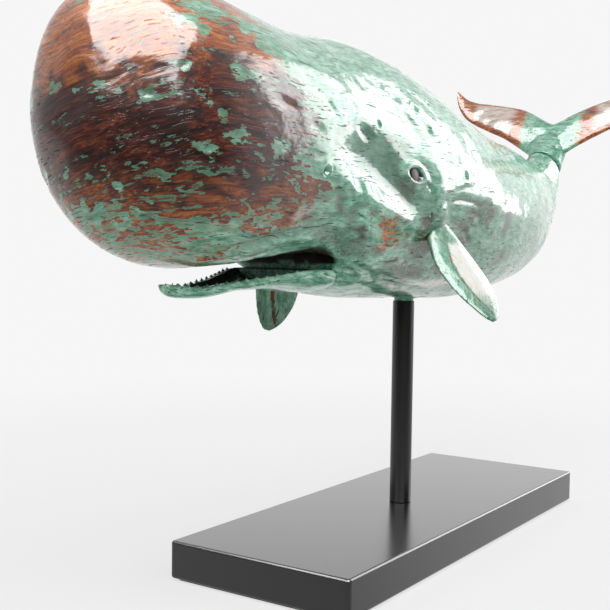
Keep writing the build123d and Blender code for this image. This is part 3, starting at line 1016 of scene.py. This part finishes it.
@dataclass
class Trunk(Casting):
    """The whale's trunk with the upper mouth, and the short neck that stands on the post.

    Sizes are in millimetres, heights count from the floor, and places along the body from the post.
    """

    cell: float = 1.8
    smooth_rounds: int = 8
    lids: Lids = Lids()
    swells: tuple[Swell, ...] = ((55.0, 0.9, 3.0), (20.0, 0.8, 17.0), (8.0, 0.22, 29.0))
    # Which dents are pits, and how far from a pit or an eye the faces are finer
    pit_length: float = 13.0
    pit_reach: float = 9.0
    eye_reach: float = 18.0
    # Where the brush turns round the head, and how much its run sinks towards the far side
    head_front: float = -236.0
    brush_slope: float = 0.25
    # By height: where the brown ends along the body, how much of it covers the green, and how warm it is
    brown_end: Table = (
        (176, -212), (186, -206), (194, -200), (204, -178), (218, -196),
        (228, -198), (243, -188), (268, -206), (287, -214), (308, -212))
    brown_cover: Table = (
        (176, 0.42), (186, 0.46), (194, 0.53), (205, 0.63), (225, 0.69),
        (240, 0.74), (262, 0.76), (290, 0.72), (306, 0.60))
    warmth: Table = (
        (180, 0.75), (192, 0.50), (215, 0.28), (228, 0.06), (240, 0.0),
        (254, 0.04), (264, 0.45), (276, 0.9), (300, 0.95))
    brown_edge: Wash = Wash(1.0, -30.0, 26.0)
    snout_warmth: Wash = Wash(0.3, 266.0, 284.0)
    # Width and depth of the bays in a patch's outline, and their seed
    patch_bays: tuple[float, float, float] = (5.0, 0.9, 41.0)
    # The faint stain of the lower body, by place along it and by height
    rear_stain: Wash = Wash(0.3, -130.0, -40.0)
    low_stain: Wash = Wash(1.0, 245.0, 215.0)
    # Paint by how far the skin is sculpted in or out: deeper green in the hollows, partly the patina's own
    # and partly painted shade, worn pale on the ridges, and less pale in the hollows
    hollow_green_and_shade: Wash = Wash(0.7, 0.6, 3.0)
    ridge_wear: Wash = Wash(0.3, 1.2, 3.5)
    hollow_shelter: Wash = Wash(0.9, 0.4, 1.4)
    # The mouth, darkened with painted shade that is partly its own dark paint: its half breadth by the place
    # along the jaw, both as shares, and its height
    jaw_tip: float = -236.0
    jaw_length: float = 126.0
    mouth_half_breadth: float = 38.0
    mouth_shares: Table = (
        (0.13, 0.16), (0.20, 0.46), (0.31, 0.70), (0.46, 0.88), (0.60, 0.97), (0.72, 1.00), (0.80, 0.92))
    mouth_shade: Wash = Wash(1.0, 0.5, 3.5)
    lip_height: float = 193.0
    # Radius and rise of the neck's corners, its steps round the post, how its seam closes, and its paint
    neck_profile: Table = ((4.6, 0.0), (6.3, 0.0), (6.3, 7.0), (4.6, 7.0))
    neck_steps: int = 64
    seam_gap: float = 0.01
    neck_green: float = 0.4
    dents: tuple[Dent, ...] = (
        # The hollow round the eye, and the swellings beside it
        Dent((380, 162), 88, 34, 1.6, -24),
        Dent((440, 190), 34, 46, -0.8, 0),
        Dent((350, 222), 60, 26, -1.4, -20),
        Dent((300, 225), 50, 16, -1.0, 8),
        Dent((330, 84), 60, 24, -1.2, -18),
        Dent((420, 112), 50, 22, -1.0, -24),
        Dent((470, 150), 40, 26, 1.0, -10),
        # Oval dents and pits
        Dent((326, 170.7), 6.5, 6.0, 2.4, 0, 0.5, 0.8),
        Dent((184, 64.5), 6.0, 4.0, 0.35, 0, 0.0, 0.8),
        Dent((148, 93), 10.0, 5.0, 0.3, -6, 0.0, 0.6),
        Dent((210, 100), 12.0, 6.5, 0.3, -8, 0.0, 0.1),
        Dent((223.5, 112), 7.0, 6.0, 0.4, 0, 0.0, 0.1),
        Dent((288, 103), 26.0, 8.0, 1.0, -4, 0.15),
        Dent((332, 107), 20.0, 5.0, 0.8, -38, 0.15),
        Dent((366, 132), 22.0, 9.0, 1.3, -18, 0.2),
        Dent((357, 183), 19.0, 10.0, 1.3, -22, 0.2),
        Dent((404, 229), 18.0, 9.0, 1.2, -18, 0.2),
        Dent((428, 132), 14.0, 8.0, 1.2, -14, 0.2),
        Dent((304, 218.6), 24.0, 9.0, 1.4, 14, 0.3, 0.5),
        Dent((352, 104), 16.0, 6.0, 0.8, -30, 0.2),
        Dent((318, 128), 22.0, 8.0, 0.7, -10, 0.1),
        Dent((408, 118), 20.0, 8.0, 0.9, -30, 0.2),
        Dent((414, 108), 8.0, 6.0, 0.7, 0, 0.2, 0.2),
        Dent((448, 138), 14.0, 7.0, 0.8, -20, 0.2),
        Dent((456, 158), 12.0, 9.0, 0.6, -10, 0.2),
        Dent((476, 156), 14.0, 14.0, 0.7, -10, 0.1),
        Dent((375, 192), 14.0, 8.0, 0.8, -30, 0.2),
        Dent((340, 200), 16.0, 8.0, 0.8, -30, 0.2, 0.3),
        Dent((395, 96), 16.0, 8.0, 0.9, -20, 0.2),
        Dent((159, 175), 20.0, 8.0, 1.0, 0, 0.1, 0.5),
        Dent((198.5, 169), 30.0, 8.0, 1.1, 4, 0.1, 0.5),
        Dent((207, 147), 9.0, 6.0, 0.9, 0, 0.1, 0.1),
        Dent((466, 176), 7.0, 8.0, 1.2, 0, 0.3, 0.2),
        Dent((376.5, 124), 7.0, 6.0, 0.9, 0, 0.2, 0.5),
        Dent((430.5, 214), 4.0, 4.0, 0.9, 0, 0.1, 0.9),
        Dent((427, 104), 4.5, 3.0, 0.9, -20, 0.1, 0.9),
    )
    folds: tuple[Fold, ...] = (
        # Hollow over the cheek, cheek ridge, brow, and the ridge behind the eye
        Fold(((345, 140), (358, 148), (374, 160), (390, 172), (404, 186), (415, 200), (424, 214)), 28, -1.7),
        Fold(((336, 144), (348, 154), (363, 168), (380, 181), (396, 194), (408, 206), (418, 218)), 28, -1.7),
        Fold(((318, 152), (337, 170), (356, 190), (373, 201), (391, 212), (407, 222), (419, 234)), 22, 2.1),
        Fold(((340, 128), (362, 124), (386, 128), (410, 142), (430, 156), (440, 174), (439, 192), (432, 212)),
             20, 1.2),
        Fold(((392, 98), (410, 116), (424, 136), (436, 160)), 16, 0.8),
        Fold(((437, 204), (440, 224), (432, 242)), 20, 1.4),
        Fold(((424, 180), (429, 185), (432, 192)), 3.4, -0.9, 0.5),
        # Folds of the neck
        Fold(((450, 201), (462, 199), (474, 202), (483, 207)), 6.0, -0.8, 1.0),
        Fold(((464, 213), (474, 213), (485, 218)), 5.0, -0.7, 1.0),
        Fold(((452, 192), (466, 188), (480, 187), (492, 190)), 6.0, -0.4, 0.4),
        Fold(((455, 225), (466, 232), (472, 246)), 7.0, -1.0, 0.6),
        # Crease over the upper lip and the corner of the mouth
        Fold(((215, 250), (240, 247), (265, 241), (290, 232), (312, 224), (330, 222)), 9.0, -1.6, 0.25),
        Fold(((185, 264), (215, 258), (245, 252), (275, 243), (300, 238), (325, 240)), 8.0, 1.2),
        Fold(((338, 267.5), (348, 269.5), (357, 271)), 3.6, -1.6, 0.8),
        Fold(((345, 262), (358, 266), (370, 274), (376, 283)), 6.0, -0.9, 0.3),
        # Throat
        Fold(((380, 268), (398, 274), (420, 278), (436, 284)), 9.0, 1.4),
        Fold(((376, 280), (398, 285), (425, 288)), 5.0, -1.0, 0.3),
    )
    patches: tuple[tuple[Paint, tuple[Patch, ...]], ...] = (
        # Dark stain in the hollows of the neck, the cheek and the throat
        (Paint.OLIVE, (
            Patch((489, 213), 34.0, 26.0, 0.95),
            Patch((508, 222), 22.0, 34.0, 0.8),
            Patch((463, 238), 26.0, 44.0, 0.9),
            Patch((410, 197), 30.0, 34.0, 0.7),
            Patch((340, 240), 90.0, 20.0, 0.7, -8),
            Patch((424, 243), 44.0, 36.0, 0.9),
            Patch((400, 270), 80.0, 18.0, 0.7, -6),
            Patch((342, 142), 24.0, 24.0, 0.6),
            Patch((445, 268), 40.0, 20.0, 0.8),
            Patch((352, 222), 60.0, 10.0, 0.6, -24),
            Patch((500, 258), 44.0, 20.0, 0.5),
        )),
        # Deeper green round the eye and behind the jaw's corner, which in the eye's hollow is painted shade
        # as well as paint
        (Paint.DEEP_AND_SHADE, (
            Patch((382, 160), 92.0, 42.0, 0.95, -24),
            Patch((425, 200), 30.0, 50.0, 0.5),
        )),
        # Brown that shows through the green, then green that shows through the brown
        (Paint.BROWN, (
            Patch((390, 234), 56.0, 28.0, 0.5, -16),
            Patch((398, 143), 34.0, 12.0, 0.4, -14),
            Patch((325, 192), 60.0, 14.0, 0.42, -6),
            Patch((318, 98), 30.0, 6.0, 0.35, -12),
            Patch((388, 84), 20.0, 6.0, 0.3, -20),
            Patch((205, 10), 48.0, 18.0, -0.36),
            Patch((200, 27), 26.0, 9.0, -0.32),
            Patch((240, 22), 60.0, 12.0, -0.28, -12),
            Patch((272, 48), 50.0, 18.0, -0.3, -20),
            Patch((240, 72), 16.0, 10.0, -0.4),
            Patch((184, 64.5), 8.0, 5.0, -0.36),
            Patch((148, 93), 13.0, 6.0, -0.32),
            Patch((210, 100), 14.0, 7.0, -0.32),
            Patch((223.5, 112), 10.0, 7.0, -0.34),
            Patch((159, 175), 20.0, 7.0, -0.25),
            Patch((198, 169), 30.0, 7.0, -0.25),
            Patch((262, 78), 20.0, 8.0, -0.36),
            Patch((100, 84), 26.0, 8.0, -0.32, 12),
            Patch((106, 172), 12.0, 5.0, -0.28),
            Patch((235, 137), 34.0, 8.0, -0.32),
            Patch((282, 145), 28.0, 9.0, -0.35),
            Patch((210, 147), 16.0, 8.0, -0.3),
            Patch((120, 215), 22.0, 30.0, -0.2),
            Patch((215, 235), 60.0, 14.0, -0.22),
            Patch((260, 215), 50.0, 16.0, -0.15),
            Patch((238, 246), 110.0, 20.0, -0.16, 10),
        )),
        # Warm brown behind the mouth, and the dark band across the head
        (Paint.WARMTH, (
            Patch((388, 236), 60.0, 30.0, 0.5),
            Patch((195, 136), 150.0, 48.0, -0.6),
            Patch((112, 160), 60.0, 60.0, -0.4),
        )),
        # Pale paint: worn paint and a painted highlight on the shoulder, worn paint on the lip, and painted
        # light from the floor on the throat
        (Paint.PALE, (
            Patch((345, 94), 110.0, 36.0, 0.30, -16),
            Patch((445, 140), 90.0, 54.0, 0.24, -16),
            Patch((238, 249), 110.0, 16.0, 0.3, 10),
            Patch((300, 214), 30.0, 12.0, 0.4, 10),
            Patch((425, 285), 90.0, 16.0, 0.7, 4),
            Patch((400, 262), 40.0, 10.0, 0.4, -20),
        )),
    )

    def _brush_run(self, points: np.ndarray) -> np.ndarray:
        """Work out the painter's brush run: level along the body and round the head.

        Args:
            points: the skin's points, in metres.

        Returns:
            Where each point lies on the run, in metres.
        """
        front = self.head_front * MM
        ahead = np.maximum(front - points[:, 0], 0.0)
        breadth = np.abs(points[:, 1])
        reach = np.hypot(breadth, ahead)
        turned = reach * (math.pi / 2 - np.arctan2(breadth, ahead))
        return np.stack([
            np.where(ahead > 0, front - turned, points[:, 0]),
            reach,
            points[:, 2] + self.brush_slope * points[:, 1],
        ], axis=1)

    def _carve(self, sculpt: Sculpt, eyes: list[Vector]) -> None:
        """Press in the dents, raise the folds and roughen the skin.

        Args:
            sculpt: the skin's sculptor.
            eyes: the eyes' middles, in metres.
        """
        pits = [(Vector(sculpt.spot(dent.pixel)[0]), self.pit_reach * MM) for dent in self.dents
                if dent.length < self.pit_length]
        wide = [(eye, self.eye_reach * MM) for eye in eyes]
        sculpt.refine(pits + wide + wide)
        for dent in self.dents:
            sculpt.dent(dent)
        for fold in self.folds:
            sculpt.fold(fold)
        sculpt.roughen(*self.swells)

    def _paint(self, sculpt: Sculpt) -> None:
        """Lay the brown of the head, the patches, some of them painted highlight and painted light, the wear,
        and the deeper green with its painted shade in the hollows, and darken the mouth with painted shade.

        Args:
            sculpt: the skin's sculptor.
        """
        paints = sculpt.paints
        x, y, z = (sculpt.points / MM).T
        rise = sculpt.rise / MM
        ahead = read_table(self.brown_end, z) - x
        paints[Paint.BROWN] += self.brown_edge.of(ahead) * read_table(self.brown_cover, z)
        paints[Paint.WARMTH] += read_table(self.warmth, z) + self.snout_warmth.of(-x)
        sculpt.loosen(*self.patch_bays)
        for paint, patches in self.patches:
            for patch in patches:
                sculpt.patch(paint, patch)
        paints[Paint.OLIVE] += self.rear_stain.of(x) * self.low_stain.of(z)
        paints[Paint.DEEP_AND_SHADE] += self.hollow_green_and_shade.of(-rise)
        paints[Paint.PALE] += self.ridge_wear.of(rise)
        paints[Paint.PALE] *= 1 - self.hollow_shelter.of(-rise)
        place = (x - self.jaw_tip) / self.jaw_length
        breadth = read_table(self.mouth_shares, place, outside=0.0) * self.mouth_half_breadth
        paints[Paint.SHADE] += self.mouth_shade.of(breadth - np.abs(y)) * (z < self.lip_height)

    def skin(self) -> bpy.types.Object:
        """Model the whale's skin: smooth, then sculpted and painted by listed marks.

        Returns:
            The skin.
        """
        skin, sculpt = self.start("whale_skin", "whale_body")
        eyes = [sum(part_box(node), Vector()) / 2 for node in ("left_eye", "right_eye")]
        self._carve(sculpt, eyes)
        self._paint(sculpt)
        for eye in eyes:
            sculpt.open_eye(eye, self.lids)
        sculpt.apply(self._brush_run(sculpt.points))
        return skin

    def neck(self) -> bpy.types.Object:
        """Model the short neck that stands on the post.

        Returns:
            The neck.
        """
        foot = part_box("support_post")[1].z
        shape = bmesh.new()
        corners = [shape.verts.new((radius * MM, 0.0, foot + rise * MM))
                   for radius, rise in self.neck_profile]
        edges = [shape.edges.new((corners[count - 1], corner)) for count, corner in enumerate(corners)]
        bmesh.ops.spin(shape, geom=corners + edges, axis=(0.0, 0.0, 1.0), cent=(0.0, 0.0, 0.0),
                       angle=math.tau, steps=self.neck_steps, use_merge=True)
        bmesh.ops.remove_doubles(shape, verts=shape.verts, dist=self.seam_gap * MM)
        bmesh.ops.recalc_face_normals(shape, faces=shape.faces)
        neck = Piece.from_bmesh("neck", shape, smooth=False)
        sculpt = Sculpt(neck.data, self.view)
        sculpt.paints[Paint.DEEP_AND_SHADE] += self.neck_green
        sculpt.apply()
        return neck


@dataclass
class Jaw(Casting):
    """The thin lower jaw with its two rows of teeth, dark inside with painted shade that is partly its own
    dark paint. Sizes are in millimetres.
    """

    cell: float = 0.6
    smooth_rounds: int = 2
    row_length: float = 2.0
    swells: tuple[Swell, ...] = ((14.0, 0.35, 5.0),)
    # The trough, darkened with painted shade, by how far inside the rim a point lies and how much it faces up
    trough_inside: Wash = Wash(1.0, 1.6, 3.4)
    trough_floor: Wash = Wash(1.0, 0.0, 0.35)
    trough_shade: float = 0.9
    trough_end: float = -135.0
    outer_wear: float = 0.25

    def build(self) -> bpy.types.Object:
        """Model the jaw.

        Returns:
            The jaw.
        """
        jaw, sculpt = self.start("toothed_jaw", "lower_jaw")
        sculpt.roughen(*self.swells)
        x, y, _ = (sculpt.points / MM).T
        _, half = row_limits(x, np.abs(y), self.row_length)
        trough = self.trough_inside.of(half - np.abs(y)) * self.trough_floor.of(sculpt.normals[:, 2])
        sculpt.paints[Paint.SHADE] += self.trough_shade * trough * (x < self.trough_end)
        sculpt.paints[Paint.PALE] += self.outer_wear * (1 - trough)
        sculpt.apply()
        return jaw


@dataclass
class Fins(Casting):
    """The two pectoral fins, pale with a painted highlight on their outer faces, and with painted shade along
    their leading edges. Sizes are in millimetres.
    """

    swell_width: float = 16.0
    swell_height: float = 0.5
    outer_face: Wash = Wash(1.0, 0.05, 0.45)
    root: Wash = Wash(1.0, 14.0, 6.0)
    tip: Wash = Wash(1.0, 20.0, 4.0)
    # White of the painted highlight on the outer face, by the distance behind the leading edge, and how much
    # of it the root and the tip lose
    white: Wash = Wash(0.66, 7.0, 9.5)
    root_loss: float = 0.9
    tip_loss: float = 0.55
    # The brown line before the white, and the brown of the inner face
    line_share: float = 0.56
    line_place: float = 7.6
    line_width: float = 1.0
    inner_brown: float = 0.2
    warmth: float = 0.2
    # Dark stain on the inner face, at the root and at the tip, then deeper green all over, and more of it
    # near the leading edge as painted shade
    stains: tuple[float, float, float] = (0.1, 0.3, 0.35)
    green: float = 0.1
    edge_green_and_shade: Wash = Wash(0.4, 6.0, 1.0)

    def build(self, name: str, node: str, seed: float) -> bpy.types.Object:
        """Model one fin.

        Args:
            name: the piece's name.
            node: the node that it stands for.
            seed: an offset that makes each fin's unevenness differ.

        Returns:
            The fin.
        """
        fin, sculpt = self.start(name, node)
        sculpt.roughen((self.swell_width, self.swell_height, seed))
        side = -1.0 if sculpt.points[:, 1].mean() < 0 else 1.0
        outer = self.outer_face.of(side * sculpt.normals[:, 1])
        x, _, z = (sculpt.points / MM).T
        lead = x - row_limits(z, x, self.row_length)[0]
        root = self.root.of(z.max() - z)
        tip = self.tip.of(z - z.min())
        line = np.exp(-((lead - self.line_place) / self.line_width) ** 2)
        paints = sculpt.paints
        kept = (1 - self.root_loss * root) * (1 - self.tip_loss * tip)
        paints[Paint.PALE] += outer * self.white.of(lead) * kept
        paints[Paint.BROWN] += self.line_share * line + self.inner_brown * (1 - outer)
        paints[Paint.WARMTH] += self.warmth
        paints[Paint.OLIVE] += sum(share * place for share, place in zip(self.stains, (1 - outer, root, tip)))
        paints[Paint.DEEP_AND_SHADE] += self.green + self.edge_green_and_shade.of(lead)
        sculpt.apply(sculpt.points[:, [2, 1, 0]])
        return fin


@dataclass
class Flukes(Casting):
    """The raised flukes: a brown face with warm edges, pale in its middle with worn paint and a painted
    reflection, and green where they meet the tail.

    Sizes are in millimetres. A span is 0 at the middle and 1 at the tips.
    """

    swells: tuple[Swell, ...] = ((26.0, 0.8, 9.0), (9.0, 0.25, 21.0))
    lean: float = 32.0
    brown: Wash = Wash(1.0, 0.16, 0.36)
    tip_fade: Wash = Wash(0.7, 0.96, 0.99)
    warmth: float = 0.9
    # The pale face, worn paint with a painted reflection, by the distance from the nearer edge and from its
    # inner to its outer end
    worn_and_painted_light: Wash = Wash(0.52, 1.2, 4.5)
    pale_start: Wash = Wash(1.0, 0.22, 0.42)
    pale_end: Wash = Wash(1.0, 0.88, 0.72)

    def build(self) -> bpy.types.Object:
        """Model the flukes.

        Returns:
            The flukes.
        """
        flukes, sculpt = self.start("raised_flukes", "tail_flukes")
        sculpt.roughen(*self.swells)
        x, y, z = (sculpt.points / MM).T
        span = np.abs(y) / np.abs(y).max()
        lean = math.radians(self.lean)
        run = x * math.cos(lean) + z * math.sin(lean)
        low, high = row_limits(y, run, self.row_length)
        edge = np.minimum(run - low, high - run)
        paints = sculpt.paints
        paints[Paint.BROWN] += self.brown.of(span) * (1 - self.tip_fade.of(span))
        paints[Paint.WARMTH] += self.warmth
        paints[Paint.PALE] += self.worn_and_painted_light.of(edge) * self.pale_start.of(span) * self.pale_end.of(span)
        sculpt.apply(sculpt.points[:, [1, 0, 2]])
        return flukes


@dataclass
class Eyes:
    """The two eyes in their sockets: balls with a flattened front. Sizes are in millimetres."""

    radius: float = 4.55
    flatness: float = 0.15
    segments: int = 48

    def build(self, name: str, node: str) -> bpy.types.Object:
        """Model one eye.

        Args:
            name: the piece's name.
            node: the node that it stands for.

        Returns:
            The eye.
        """
        low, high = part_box(node)
        shape = bmesh.new()
        bmesh.ops.create_uvsphere(shape, u_segments=self.segments, v_segments=self.segments // 2,
                                  radius=self.radius * MM)
        bmesh.ops.rotate(shape, verts=shape.verts, matrix=Matrix.Rotation(math.pi / 2, 3, "X"))
        bmesh.ops.scale(shape, verts=shape.verts, vec=(1.0, self.flatness, 1.0))
        bmesh.ops.translate(shape, verts=shape.verts, vec=(low + high) / 2)
        return Piece.from_bmesh(name, shape)


@dataclass
class Whale:
    """The cast whale: its trunk and neck, the toothed jaw, both fins, the eyes and the flukes."""

    frame: dict
    view: View
    # Each side's name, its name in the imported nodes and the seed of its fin
    sides: tuple[tuple[str, str, float], ...] = (("near", "left", 2.0), ("far", "right", 8.0))

    def build(self) -> None:
        """Build and dress every piece of the whale."""
        patina = Patina().build()
        glaze = EYE_GLAZE.build()
        trunk = Trunk(self.frame, self.view)
        fins = Fins(self.frame, self.view)
        Piece.finish(trunk.skin(), patina, "patina_casting", "whale_body")
        Piece.finish(trunk.neck(), patina, "patina_casting")
        Piece.finish(Jaw(self.frame, self.view).build(), patina, "patina_jaw", "lower_jaw")
        for side, packed, seed in self.sides:
            fin = f"{packed}_pectoral_fin"
            Piece.finish(fins.build(f"{side}_fin", fin, seed), patina, "patina_fin", fin)
            eye = f"{packed}_eye"
            Piece.finish(Eyes().build(f"{side}_eye", eye), glaze, "eye", eye)
        Piece.finish(Flukes(self.frame, self.view).build(), patina, "patina_fluke", "tail_flukes")


@dataclass
class Stand:
    """The lacquered plinth, the post, the felt and the hidden fixings."""

    frame: dict
    finishes: dict[str, SmoothFinish] = field(default_factory=lambda: {
        "base_plate": PLINTH_LACQUER,
        "support_post": POST_ENAMEL,
        "base_felt": FELT,
        "threaded_insert": BRASS,
        "threaded_stud": ZINC,
        "base_screw": ZINC,
        "base_washer": ZINC,
    })

    def build(self) -> None:
        """Dress every node of the stand with its finish."""
        made: dict[str, bpy.types.Material] = {}
        for node, finish in self.finishes.items():
            if finish.name not in made:
                made[finish.name] = finish.build()
            Piece.dress(self.frame["nodes"][node], made[finish.name])


class Beam(Enum):
    """What a softbox is there for."""

    PAINT = "lights the paint"
    GLOSS = "shows in the varnish and the lacquer"


@dataclass(frozen=True)
class Softbox:
    """A studio softbox aimed at the whale. Sizes and places are in metres."""

    name: str
    beam: Beam
    direction: tuple[float, float, float]
    distance: float
    width: float
    height: float
    radiance: float

    def build(self, target: Vector) -> None:
        """Hang the softbox.

        Args:
            target: the point that it faces.
        """
        lamp = bpy.data.lights.new(self.name, "AREA")
        lamp.shape = "RECTANGLE"
        lamp.size = self.width
        lamp.size_y = self.height
        lamp.energy = self.radiance * math.pi * self.width * self.height
        away = Vector(self.direction).normalized()
        holder = bpy.data.objects.new(self.name, lamp)
        holder.location = target + away * self.distance
        holder.rotation_euler = away.to_track_quat("Z", "Y").to_euler()
        holder.visible_camera = False
        holder.visible_diffuse = self.beam is Beam.PAINT
        holder.visible_glossy = self.beam is Beam.GLOSS
        bpy.context.scene.collection.objects.link(holder)


@dataclass
class Studio:
    """A plain white studio: floor, pale surroundings, softboxes and the camera. Sizes are in metres.

    The room is pale behind the whale and dim on the photographer's side, where only its reflections in
    varnish and lacquer show it.
    """

    view: View
    backdrop: str = "#F6F6F6"
    paper: str = "#F2F2F2"
    fill_colour: str = "#FFFFFF"
    fill: float = 0.54
    # Which way the room's depth runs, and where along it the surroundings and the floor turn pale
    room_depth: tuple[float, float, float] = (0.83, 0.56, 0.0)
    dim_share: float = 0.06
    room_turn: Wash = Wash(1.0, -0.45, 0.45)
    floor_turn: Wash = Wash(1.0, -0.5, 0.05)
    # How the floor fades into the surroundings with the distance from the stand
    floor_half_size: float = 8.0
    floor_segments: int = 8
    floor_fade: Wash = Wash(1.0, 0.25, 0.9)
    floor_glow: float = 0.72
    softboxes: tuple[Softbox, ...] = (
        Softbox("side_key", Beam.PAINT, (0.62, -0.66, 0.42), 1.5, 1.0, 0.9, 2.1),
        Softbox("top_key", Beam.PAINT, (-0.42, -0.36, 0.83), 1.3, 0.9, 0.7, 3.2),
        Softbox("back_key", Beam.PAINT, (0.2, 0.8, 0.9), 1.8, 1.2, 0.8, 0.8),
        Softbox("side_glow", Beam.GLOSS, (0.855, -0.415, 0.31), 1.5, 1.0, 0.95, 4.9),
        Softbox("top_glow", Beam.GLOSS, (-0.56, -0.20, 0.80), 1.5, 3.4, 2.3, 12.5),
        Softbox("backdrop_glow", Beam.GLOSS, (0.80, 0.58, 0.16), 2.6, 3.6, 1.3, 0.25),
    )

    def _shown(self, tree: bpy.types.NodeTree, place: Socket, turn: Wash) -> tuple[Socket, Socket]:
        """Work out where the pale surface shows, and how bright.

        Args:
            tree: the node tree that gets the nodes.
            place: a place or a direction in the room.
            turn: where it turns from dim to pale along the room's depth.

        Returns:
            The share that is 1 for the camera, a reflection or glass, and the strength, dim only where a
            reflection or glass shows the photographer's side.
        """
        camera, glossy, glass = (add_node(tree, "ShaderNodeLightPath", output=f"Is {kind} Ray")
                                 for kind in ("Camera", "Glossy", "Transmission"))
        share = camera
        for ray in (glossy, glass):
            settings = {"operation": "ADD", "use_clamp": True}
            share = add_node(tree, "ShaderNodeMath", settings, {0: share, 1: ray})
        depth = add_node(tree, "ShaderNodeVectorMath", {"operation": "DOT_PRODUCT"},
                         {0: place, 1: self.room_depth}, "Value")
        pale = add_node(tree, "ShaderNodeMapRange", EASED,
                        {"Value": depth, "To Min": self.dim_share, **turn.limits()})
        return share, add_node(tree, "ShaderNodeMath", {"operation": "MAXIMUM"}, {0: pale, 1: camera})

    def _surroundings(self) -> None:
        """Set the pale surroundings: white where they are seen, softer where they only light."""
        world = bpy.data.worlds.new("pale_studio")
        bpy.context.scene.world = world
        world.use_nodes = True
        tree = world.node_tree
        tree.nodes.clear()
        direction = add_node(tree, "ShaderNodeTexCoord", output="Generated")
        share, strength = self._shown(tree, direction, self.room_turn)
        shown, lit = (
            add_node(tree, "ShaderNodeBackground", inputs={"Color": linear(colour), "Strength": power})
            for colour, power in ((self.backdrop, strength), (self.fill_colour, self.fill)))
        mixed = add_node(tree, "ShaderNodeMixShader", inputs={0: share, 1: lit, 2: shown})
        add_node(tree, "ShaderNodeOutputWorld", inputs={"Surface": mixed})

    def _floor(self) -> None:
        """Lay the floor: it keeps a faint shadow near the stand and fades into the surroundings."""
        material, tree = new_material("white_paper_sweep")
        place = add_node(tree, "ShaderNodeTexCoord", output="Object")
        share, strength = self._shown(tree, place, self.floor_turn)
        reach = add_node(tree, "ShaderNodeVectorMath", {"operation": "LENGTH"}, {0: place}, "Value")
        far = add_node(tree, "ShaderNodeMapRange", EASED,
                       {"Value": reach, "To Min": self.floor_glow, **self.floor_fade.limits()})
        share = add_node(tree, "ShaderNodeMath", {"operation": "MULTIPLY"}, {0: far, 1: share})
        paper = add_node(tree, "ShaderNodeBsdfDiffuse", inputs={"Color": linear(self.paper)})
        glow = add_node(tree, "ShaderNodeEmission", inputs={
            "Color": linear(self.backdrop), "Strength": strength})
        mixed = add_node(tree, "ShaderNodeMixShader", inputs={0: share, 1: paper, 2: glow})
        add_node(tree, "ShaderNodeOutputMaterial", inputs={"Surface": mixed})
        shape = bmesh.new()
        bmesh.ops.create_grid(shape, x_segments=self.floor_segments, y_segments=self.floor_segments,
                              size=self.floor_half_size)
        floor = Piece.from_bmesh("floor", shape, smooth=False)
        floor.data.materials.append(material)

    def build(self, target: Vector) -> None:
        """Set up the studio.

        Args:
            target: the middle of the whale, which the softboxes face.
        """
        self._surroundings()
        self._floor()
        for softbox in self.softboxes:
            softbox.build(target)
        self.view.build()
        bpy.context.scene.view_settings.view_transform = "Standard"


def main() -> None:
    """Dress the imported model."""
    logging.basicConfig(level=logging.INFO, format="%(name)s %(message)s")
    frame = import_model()
    view = View()
    Whale(frame, view).build()
    Stand(frame).build()
    low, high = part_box("whale_body")
    Studio(view).build((low + high) / 2)


if __name__ == "__main__":
    main()
